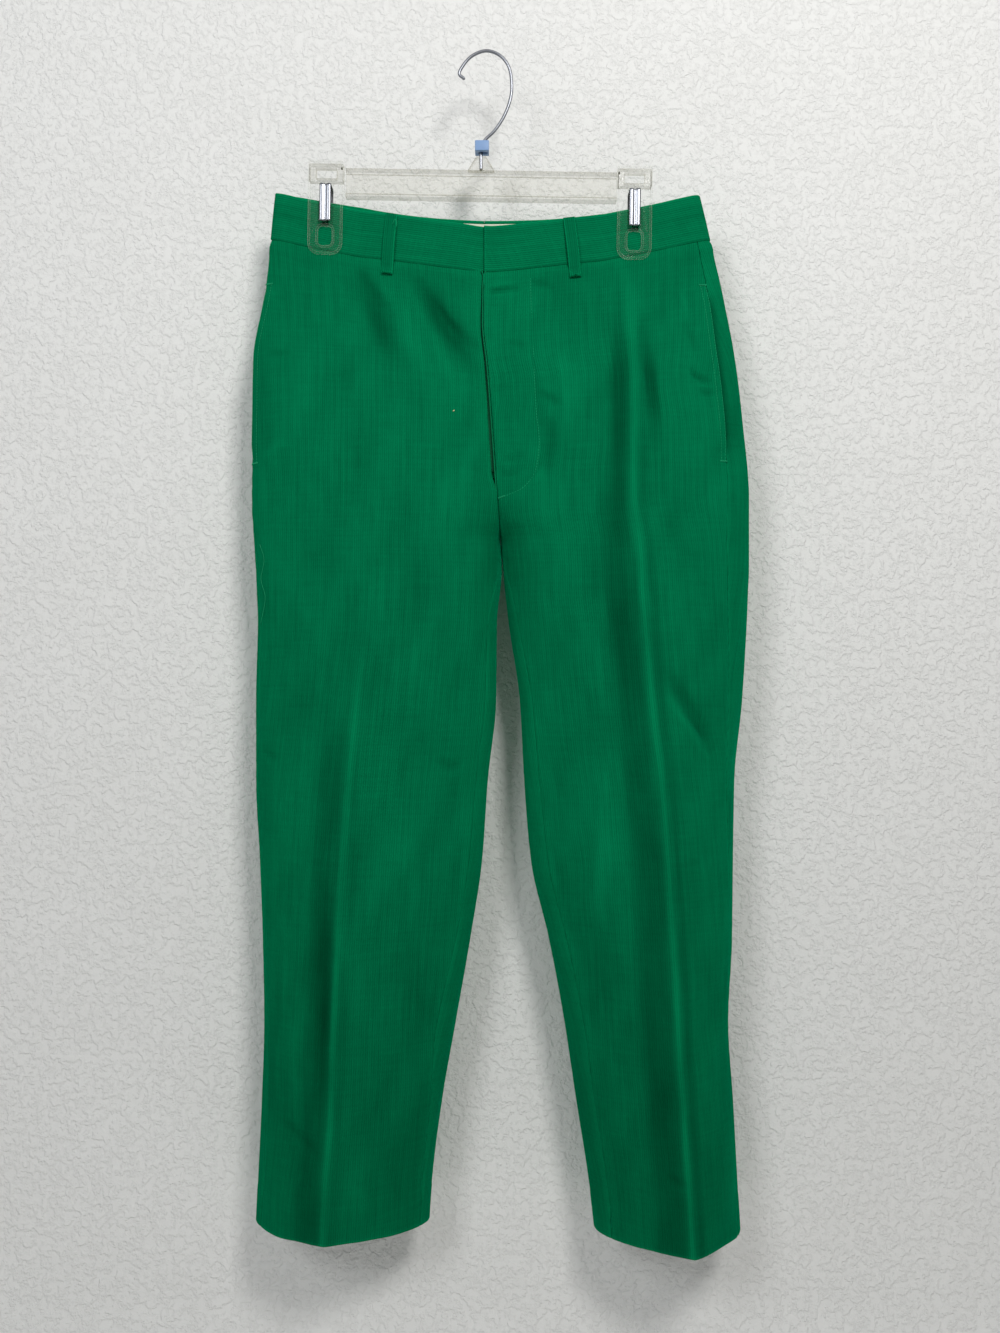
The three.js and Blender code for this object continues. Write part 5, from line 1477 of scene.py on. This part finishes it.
def jaw_parts(x, direction, material):
    """A clip's jaw: a plate with a window and a spring slot, and raised rims round its edge and window."""
    half, top = CLIP["width"] / 2, CLIP["top"]
    low = top - CLIP["length"]
    window_top = top - CLIP_WINDOW["below"] + CLIP_WINDOW["height"] / 2
    slot_top = top - CLIP_SLOT["below"] + CLIP_SLOT["height"] / 2
    near, far = CLIP["face"], CLIP["face"] + CLIP["wall"]
    outline = rounded_outline(x - half, x + half, low, top, CLIP["corner"], 1.0)
    window = rounded_outline(
        x - CLIP_WINDOW["width"] / 2, x + CLIP_WINDOW["width"] / 2,
        window_top - CLIP_WINDOW["height"], window_top, CLIP_WINDOW["corner"],
    )
    slot = rounded_outline(
        x - CLIP_SLOT["width"] / 2, x + CLIP_SLOT["width"] / 2, slot_top - CLIP_SLOT["height"], slot_top, 0.8,
    )
    web = far - CLIP["step"]
    parts = [bevelled_plate([outline, window, slot], *sorted((direction * near, direction * web)))]
    rim = CLIP["rim"]
    inset = rounded_outline(x - half + rim, x + half - rim, low + rim, top - rim, CLIP["corner"] - rim, 0.6)
    raised = sorted((direction * (web + 0.05), direction * far))
    parts.append(bevelled_plate([outline, inset], *raised, edge=0.35))
    grow = CLIP_WINDOW["rim"]
    window_rim = rounded_outline(
        x - CLIP_WINDOW["width"] / 2 - grow, x + CLIP_WINDOW["width"] / 2 + grow,
        window_top - CLIP_WINDOW["height"] - grow, window_top + grow, CLIP_WINDOW["corner"] + grow,
    )
    parts.append(bevelled_plate([window_rim, window], *raised, edge=0.35))
    return [(tilted(points), faces, material) for points, faces in parts]


def spring_strap(x):
    """Steel strap: an arch over the jaws in y and z, carried across its width with two ridges, and ending in
    curled lips."""
    crossing = CLIP["top"] - SPRING["below"]
    outer, bend, foot = SPRING["outer"], SPRING["bend"], crossing - SPRING["reach"]
    turn = np.linspace(0, math.pi / 2, 8)
    legs = np.linspace(foot, crossing - bend, 22)[:-1]
    curl = np.linspace(math.pi * 0.9, 0, 9)[:-1]
    lip = SPRING["lip"]
    front = [np.stack([-outer - lip + lip * np.cos(curl), foot - lip * np.sin(curl)], axis=-1)]
    front.append(np.stack([np.full(len(legs), -outer), legs], axis=-1))
    arch = np.stack([-outer + bend - bend * np.cos(turn), crossing - bend + bend * np.sin(turn)], axis=-1)
    front.append(arch)
    half = np.concatenate(front)
    line = np.concatenate([half, half[::-1] * np.array([-1, 1])])
    across = np.linspace(-1, 1, 17)
    ridge = SPRING["crown"] * (1 - across**6) - SPRING["groove"] * bell(across, SPRING["groove_reach"])
    tangent = unit(np.gradient(line, axis=0))
    out = np.stack([-tangent[:, 1], tangent[:, 0]], axis=-1)
    if out[30, 0] > 0:
        out = -out
    place = line[:, None] + out[:, None] * ridge[None, :, None]
    xs = np.broadcast_to(x + across * SPRING["width"] / 2, place.shape[:2])
    outer_grid = np.stack([xs, place[..., 0], place[..., 1]], axis=-1)
    inner_grid = outer_grid.copy()
    inner_grid[..., 1:] -= out[:, None] * SPRING["wall"]
    return rounded_shell(outer_grid, inner_grid, np.zeros(outer_grid.shape[:2] + (2,)))[:2]


class TrousersSettings(bpy.types.PropertyGroup):
    """Sizes and colours of the trousers, the hanger and the stage."""

    cloth_colour: bpy.props.FloatVectorProperty(
        name="Cloth", description="Colour of the corduroy's pile", subtype="COLOR", size=4, min=0, max=1,
        default=(0.0009, 0.174, 0.068, 1),
    )
    facing_colour: bpy.props.FloatVectorProperty(
        name="Facing", description="Colour of the waistband's facing", subtype="COLOR", size=4, min=0, max=1,
        default=(0.80, 0.80, 0.66, 1),
    )
    plastic_colour: bpy.props.FloatVectorProperty(
        name="Clear plastic", description="Tint of the clips' jaws", subtype="COLOR", size=4, min=0, max=1,
        default=(0.86, 0.90, 0.78, 1),
    )
    bar_colour: bpy.props.FloatVectorProperty(
        name="Tinted plastic", description="Tint of the bar, neck and housings", subtype="COLOR", size=4,
        min=0, max=1, default=(0.50, 0.46, 0.31, 1),
    )
    sizer_colour: bpy.props.FloatVectorProperty(
        name="Sizer", description="Colour of the square sizer", subtype="COLOR", size=4, min=0, max=1,
        default=(0.22, 0.36, 0.62, 1),
    )
    wale_pitch: bpy.props.FloatProperty(
        name="Wale pitch", description="Distance from rib to rib", default=0.0022, min=0.0005, max=0.01,
        unit="LENGTH", precision=4,
    )
    panel_wall: bpy.props.FloatProperty(
        name="Cloth thickness", description="Thickness of the panels", default=0.0015, min=0.0005, max=0.004,
        unit="LENGTH", precision=4,
    )
    wire_diameter: bpy.props.FloatProperty(
        name="Hook wire", description="Diameter of the hook's wire", default=0.0033, min=0.001, max=0.006,
        unit="LENGTH", precision=4,
    )
    wall_distance: bpy.props.FloatProperty(
        name="Wall distance", description="From the hanger to the wall behind it", default=0.056, min=0.055,
        max=1.0, unit="LENGTH",
    )
    light_power: bpy.props.FloatProperty(
        name="Light", description="Power of the main light", default=34.0, min=1.0, max=1000.0, unit="POWER",
    )


class TROUSERS_OT_panels(bpy.types.Operator):
    """Adds the two fronts and the two backs"""

    bl_idname = "trousers.panels"
    bl_label = "Panels"

    def execute(self, context):
        for side in ("right", "left"):
            for face in ("front", "back"):
                build_panel(side, face, context.scene.trousers)
        return {"FINISHED"}


class TROUSERS_OT_waistband(bpy.types.Operator):
    """Adds the waistband's two halves and the cream facing inside its back"""

    bl_idname = "trousers.waistband"
    bl_label = "Waistband"

    def execute(self, context):
        settings = context.scene.trousers
        for side in ("right", "left"):
            build_waistband(side, settings)
        xs = np.linspace(FACING["from"], FACING["to"], 160)
        bases = np.linspace(FACING["top"], FACING["bottom"], 16)
        cloths = (facing_cloth(settings), facing_cloth(settings))
        build_strip(
            "waistband_facing", "back", lambda base: xs, bases, FACING, cloths, lengthwise=False,
        )
        return {"FINISHED"}


class TROUSERS_OT_belt_loops(bpy.types.Operator):
    """Adds the five belt loops"""

    bl_idname = "trousers.belt_loops"
    bl_label = "Belt Loops"

    def execute(self, context):
        for node, (face, side, x, lean) in LOOPS.items():
            build_belt_loop(node, face, side, x, lean, context.scene.trousers)
        return {"FINISHED"}


class TROUSERS_OT_fly(bpy.types.Operator):
    """Adds the fly shield, the zip's tape, its teeth and its slider"""

    bl_idname = "trousers.fly"
    bl_label = "Fly and Zip"

    def execute(self, context):
        settings = context.scene.trousers
        shield, tape = FLY_SHIELD, ZIP_TAPE

        def row(strip, count):
            return lambda base: inner_x("left", base) + np.linspace(strip["from"], strip["to"], count)

        cloths = (corduroy(settings), corduroy_back(settings))
        bases = np.linspace(shield["top"], shield["bottom"], 80)
        build_strip("fly_shield", "front", row(shield, 16), bases, shield, cloths)
        cloths = (tape_weave(settings), tape_weave(settings))
        bases = np.linspace(tape["top"], tape["bottom"], 80)
        build_strip("zip_tape", "front", row(tape, 12), bases, tape, cloths)
        brass = made("brass", metal_material, "brass", BRASS_COLOUR, 0.24)
        bases = np.arange(tape["top"] - 4, tape["bottom"] + 4, -1.35)
        xs = inner_x("left", bases) + 4.0 + 1.3 * (-1.0) ** np.arange(len(bases))
        point, out = surface("left", "front", xs, bases, np.full(len(xs), tape["layer"] - 0.35))
        across = unit(np.cross(out, np.array([0.0, 0.0, 1.0])))
        add_beads("zip_teeth", [beads(point, across, out, 3.4, 1.25, 1.0)], brass)
        slide = ZIP_SLIDER
        xs = np.linspace(slide["x"] - slide["width"] / 2, slide["x"] + slide["width"] / 2, 9)
        centre = float(base_at("left", "front", np.array([slide["x"]]), np.array([slide["z"]]))[0])
        bases = np.linspace(centre + slide["height"] / 2, centre - slide["height"] / 2, 13)
        outer, normal = strip_grid("front", lambda base: xs, bases, slide["layer"], "left")
        inner = outer - normal * slide["wall"]
        points, faces, _, _ = rounded_shell(outer, inner, np.zeros(outer.shape[:2] + (2,)), 3)
        mesh = merged_mesh("zip_slider_metal", [(points, faces.tolist(), brass)])
        add_piece("zip_slider_metal", mesh, ("zip_slider",))
        return {"FINISHED"}


class TROUSERS_OT_pockets(bpy.types.Operator):
    """Adds the facings behind the two side pocket openings"""

    bl_idname = "trousers.pockets"
    bl_label = "Pocket Facings"

    def execute(self, context):
        settings = context.scene.trousers
        cloths = (corduroy(settings), corduroy_back(settings))
        bases = np.linspace(POCKET["top"], POCKET["bottom"], 70)
        for side, sign in SIGN.items():
            def row(base, side=side, sign=sign):
                edge = SECTIONS[side]["outer"](base) - sign * SECTIONS[side]["outseam_in"](base)
                return np.linspace(edge - sign * POCKET["from"], edge - sign * POCKET["to"], 12)

            build_strip(f"pocket_facing_{side}", "front", row, bases, POCKET, cloths, side=side)
        return {"FINISHED"}


class TROUSERS_OT_stitching(bpy.types.Operator):
    """Adds the topstitching of the fly and pockets, and the bar tacks"""

    bl_idname = "trousers.stitching"
    bl_label = "Stitching"

    def execute(self, context):
        fly = bent_line(FLY_STITCH, 120)
        groups = [stitch_row("left", "front", fly[:, 0], fly[:, 1])]
        for side, sign in SIGN.items():
            base = np.linspace(POCKET_OPEN["top"], POCKET_OPEN["bottom"], 90)
            edge = SECTIONS[side]["outer"](base) - sign * SECTIONS[side]["outseam_in"](base)
            for inwards in POCKET_OPEN["stitch_in"]:
                x = edge - sign * inwards
                z = sagged(face_y(side, "front", x, base), x, base)
                groups.append(stitch_row(side, "front", x, z, lift=pocket_gape(base, inwards) + 0.12))
            for end in (0, -1):
                groups.append(bar_tack(side, "front", float(x[end] + sign * 2.4), float(z[end]), 7.5))
        groups.append(bar_tack("left", "front", 15.5, -466.5, 6.0, 0.3))
        add_beads("topstitching", groups, green_thread())
        return {"FINISHED"}


class TROUSERS_OT_loose_threads(bpy.types.Operator):
    """Adds the loose thread ends and the speck of lint"""

    bl_idname = "trousers.loose_threads"
    bl_label = "Loose Threads"

    def execute(self, context):
        x, z = np.array(LOOSE_THREAD["x"]), np.array(LOOSE_THREAD["z"])
        point, out = surface("right", "front", x, base_at("right", "front", x, z))
        paths = (LOOP_THREAD, point + out * 0.8)
        parts = [(*tube(bent_line(path, 24), 0.22, 6), green_thread()) for path in paths]
        mesh_piece("loose_thread_ends", parts, ())
        x, z = np.array([LINT[0]]), np.array([LINT[1]])
        point, out = surface("right", "front", x, base_at("right", "front", x, z))
        ahead = unit(np.array([[0.8, 0.0, 0.6]]))
        pale = made("pale_lint", thread_material, "pale_lint", LINT_COLOUR)
        add_beads("lint_speck", [beads(point + out * 0.3, ahead, out, 2.4, 1.3, 0.9)], pale)
        return {"FINISHED"}


class TROUSERS_OT_hanger_plastic(bpy.types.Operator):
    """Adds the hanger's clear bar, neck, clip jaws and housings"""

    bl_idname = "trousers.hanger_plastic"
    bl_label = "Hanger Plastic"

    def execute(self, context):
        settings = context.scene.trousers
        clear, tinted = clear_plastic(settings), tinted_plastic(settings)
        points, faces = swept_profile(rounded_profile(bar_corners(), 0.7), BAR["from"], BAR["to"])
        mesh_piece("hanger_bar_plastic", [(tilted(points), faces, tinted)], ("hanger_bar",))
        fin = rounded_profile(neck_corners(), 0.5)
        points, faces = bevelled_plate([fin], -NECK["depth"] / 2, NECK["depth"] / 2, edge=0.3)
        mesh_piece("hanger_neck_plastic", [(tilted(points), faces, tinted)], ("hanger_neck",))
        for side, clip_x in CLIP_X.items():
            for name, direction in (("front", -1), ("back", 1)):
                node = f"clip_{name}_jaw_{side}"
                mesh_piece(f"{node}_plastic", jaw_parts(clip_x, direction, clear), (node,))
            points, faces = housing(clip_x)
            node = f"clip_housing_{side}"
            mesh_piece(f"{node}_plastic", [(tilted(points), faces, tinted)], (node,))
        return {"FINISHED"}


class TROUSERS_OT_hanger_metal(bpy.types.Operator):
    """Adds the wire hook and the two clip springs"""

    bl_idname = "trousers.hanger_metal"
    bl_label = "Hook and Springs"

    def execute(self, context):
        settings = context.scene.trousers
        metal = steel()
        route = catmull_line(HOOK_ROUTE, 12)
        path = np.column_stack([route[:, 0], np.zeros(len(route)), route[:, 1]])
        points, faces = tube(path, settings.wire_diameter / MM / 2, WIRE_SIDES)
        mesh_piece("hanger_hook_wire", [(points, faces, metal)], ("hanger_hook",))
        for side, clip_x in CLIP_X.items():
            points, faces = spring_strap(clip_x)
            node = f"clip_spring_{side}"
            mesh_piece(f"{node}_strap", [(tilted(points), faces.tolist(), metal)], (node,))
        return {"FINISHED"}


class TROUSERS_OT_sizer(bpy.types.Operator):
    """Adds the blue square sizer on the hook's foot"""

    bl_idname = "trousers.sizer"
    bl_label = "Sizer"

    def execute(self, context):
        settings = context.scene.trousers
        blue = made("moulded_blue", plastic_material, "moulded_blue", settings.sizer_colour, 0.35, None)
        half, deep = SIZER["width"] / 2, SIZER["depth"] / 2
        outline = rounded_outline(SIZER["x"] - half, SIZER["x"] + half, -deep, deep, 1.0)
        turn = np.linspace(0, 2 * math.pi, 28, endpoint=False)
        across, deep_in = SIZER["hole"]
        hole = np.stack([SIZER["hole_x"] + across * np.cos(turn), deep_in * np.sin(turn)], axis=-1)
        points, faces = bevelled_plate([outline, hole], 0.0, SIZER["height"], edge=0.5)
        upright = np.column_stack([points[:, 0], points[:, 2], SIZER["top"] - points[:, 1]])
        mesh_piece("hanger_sizer_block", [(upright, faces, blue)], ("hanger_sizer",))
        return {"FINISHED"}


class TROUSERS_OT_stage(bpy.types.Operator):
    """Adds the pale wall and floor, the soft lights and the camera"""

    bl_idname = "trousers.stage"
    bl_label = "Stage"

    def execute(self, context):
        settings = context.scene.trousers
        build_cove(settings)
        for name, place, target, size, power, colour in LIGHTS:
            light = bpy.data.lights.new(name, "AREA")
            light.shape, light.size, light.size_y = "RECTANGLE", size[0], size[1]
            light.energy, light.color = power * settings.light_power, colour
            holder = bpy.data.objects.new(name, light)
            holder.location = place
            towards = Vector(target) - Vector(place)
            holder.rotation_euler = towards.to_track_quat("-Z", "Y").to_euler()
            context.scene.collection.objects.link(holder)
        world = bpy.data.worlds.new("room")
        world.use_nodes = True
        background = world.node_tree.nodes["Background"]
        background.inputs["Color"].default_value = ROOM["colour"]
        background.inputs["Strength"].default_value = ROOM["strength"]
        context.scene.world = world
        camera = bpy.data.cameras.new("camera")
        camera.sensor_fit, camera.sensor_width, camera.lens = "HORIZONTAL", SENSOR_WIDTH, CAMERA_LENS
        camera.clip_start, camera.clip_end = 0.01, 50
        holder = bpy.data.objects.new("camera", camera)
        holder.location, holder.rotation_euler = CAMERA_AT, (math.pi / 2, 0, 0)
        context.scene.collection.objects.link(holder)
        context.scene.camera = holder
        context.scene.view_settings.view_transform = "Standard"
        return {"FINISHED"}


def build_cove(settings):
    """Wall and floor in one surface: a profile of a floor, a quarter circle and a wall, carried sideways. It
    shows only from the front, so that the part can be seen from behind."""
    floor, bend, back = STAGE["floor"], STAGE["bend"], settings.wall_distance
    turn = np.linspace(0, math.pi / 2, 12)
    line = np.concatenate([
        [[STAGE["front"], floor]],
        np.stack([back - bend + bend * np.sin(turn), floor + bend - bend * np.cos(turn)], axis=-1),
        [[back, STAGE["top"]]],
    ])
    width = np.linspace(-STAGE["half_width"], STAGE["half_width"], 3)
    grid = np.empty((len(line), len(width), 3))
    grid[..., 0], grid[..., 1], grid[..., 2] = width[None, :], line[:, :1], line[:, 1:]
    faces = quads(np.arange(grid.shape[0] * grid.shape[1]).reshape(grid.shape[:2]))
    material, tree, principled = new_material("stage_wall", Roughness=0.9)
    place = add_node(tree, "ShaderNodeTexCoord").outputs["Object"]
    tone = noise(tree, place, 9.0, 3.0)
    tree.links.new(blended(tree, tone, *WALL_COLOURS), principled.inputs["Base Color"])
    spread = {0: noise(tree, place, STUCCO["lumps"], 4.0, 0.60), 1: STUCCO["from"], 2: STUCCO["to"]}
    islands = add_node(tree, "ShaderNodeMapRange", spread, interpolation_type="SMOOTHSTEP").outputs[0]
    fine = noise(tree, place, STUCCO["fine"], 3.0, 0.6)
    rough = maths(tree, "MULTIPLY_ADD", fine, STUCCO["fine_share"], islands)
    bump(tree, principled, rough, STUCCO["height"], STUCCO["strength"])
    gone = add_node(tree, "ShaderNodeBsdfTransparent")
    behind = add_node(tree, "ShaderNodeNewGeometry").outputs["Backfacing"]
    shadow = add_node(tree, "ShaderNodeLightPath").outputs["Is Shadow Ray"]
    mix = add_node(tree, "ShaderNodeMixShader", {0: maths(tree, "MAXIMUM", behind, shadow)})
    tree.links.new(principled.outputs[0], mix.inputs[1])
    tree.links.new(gone.outputs[0], mix.inputs[2])
    tree.links.new(mix.outputs[0], tree.nodes["Material Output"].inputs["Surface"])
    mesh = bpy.data.meshes.new("stage_cove")
    mesh.from_pydata(grid.reshape(-1, 3).tolist(), [], faces.tolist())
    mesh.materials.append(material)
    mesh.polygons.foreach_set("use_smooth", [True] * len(mesh.polygons))
    mesh.update()
    normal = mesh.polygons[0].normal
    if normal.z < 0:
        mesh.flip_normals()
    cove = bpy.data.objects.new("stage_cove", mesh)
    bpy.context.scene.collection.objects.link(cove)


class TROUSERS_PT_sidebar(bpy.types.Panel):
    """Lists the sizes, the colours and the steps"""

    bl_idname = "TROUSERS_PT_sidebar"
    bl_label = "Corduroy Trousers"
    bl_space_type = "VIEW_3D"
    bl_region_type = "UI"
    bl_category = "Trousers"

    def draw(self, context):
        for name in TrousersSettings.__annotations__:
            self.layout.prop(context.scene.trousers, name)
        for operator in OPERATORS:
            self.layout.operator(operator.bl_idname)


OPERATORS = (
    TROUSERS_OT_stage, TROUSERS_OT_panels, TROUSERS_OT_waistband, TROUSERS_OT_belt_loops, TROUSERS_OT_fly,
    TROUSERS_OT_pockets, TROUSERS_OT_stitching, TROUSERS_OT_loose_threads, TROUSERS_OT_hanger_plastic,
    TROUSERS_OT_hanger_metal, TROUSERS_OT_sizer,
)
CLASSES = (TrousersSettings, *OPERATORS, TROUSERS_PT_sidebar)


def register():
    """Adds the settings, the operators and the panel to Blender."""
    for item in CLASSES:
        bpy.utils.register_class(item)
    bpy.types.Scene.trousers = bpy.props.PointerProperty(type=TrousersSettings)


def unregister():
    """Takes them away again."""
    del bpy.types.Scene.trousers
    for item in reversed(CLASSES):
        bpy.utils.unregister_class(item)


def main():
    """Builds every piece in order."""
    register()
    for operator in OPERATORS:
        group, name = operator.bl_idname.split(".")
        getattr(getattr(bpy.ops, group), name)()


if __name__ == "__main__":
    main()
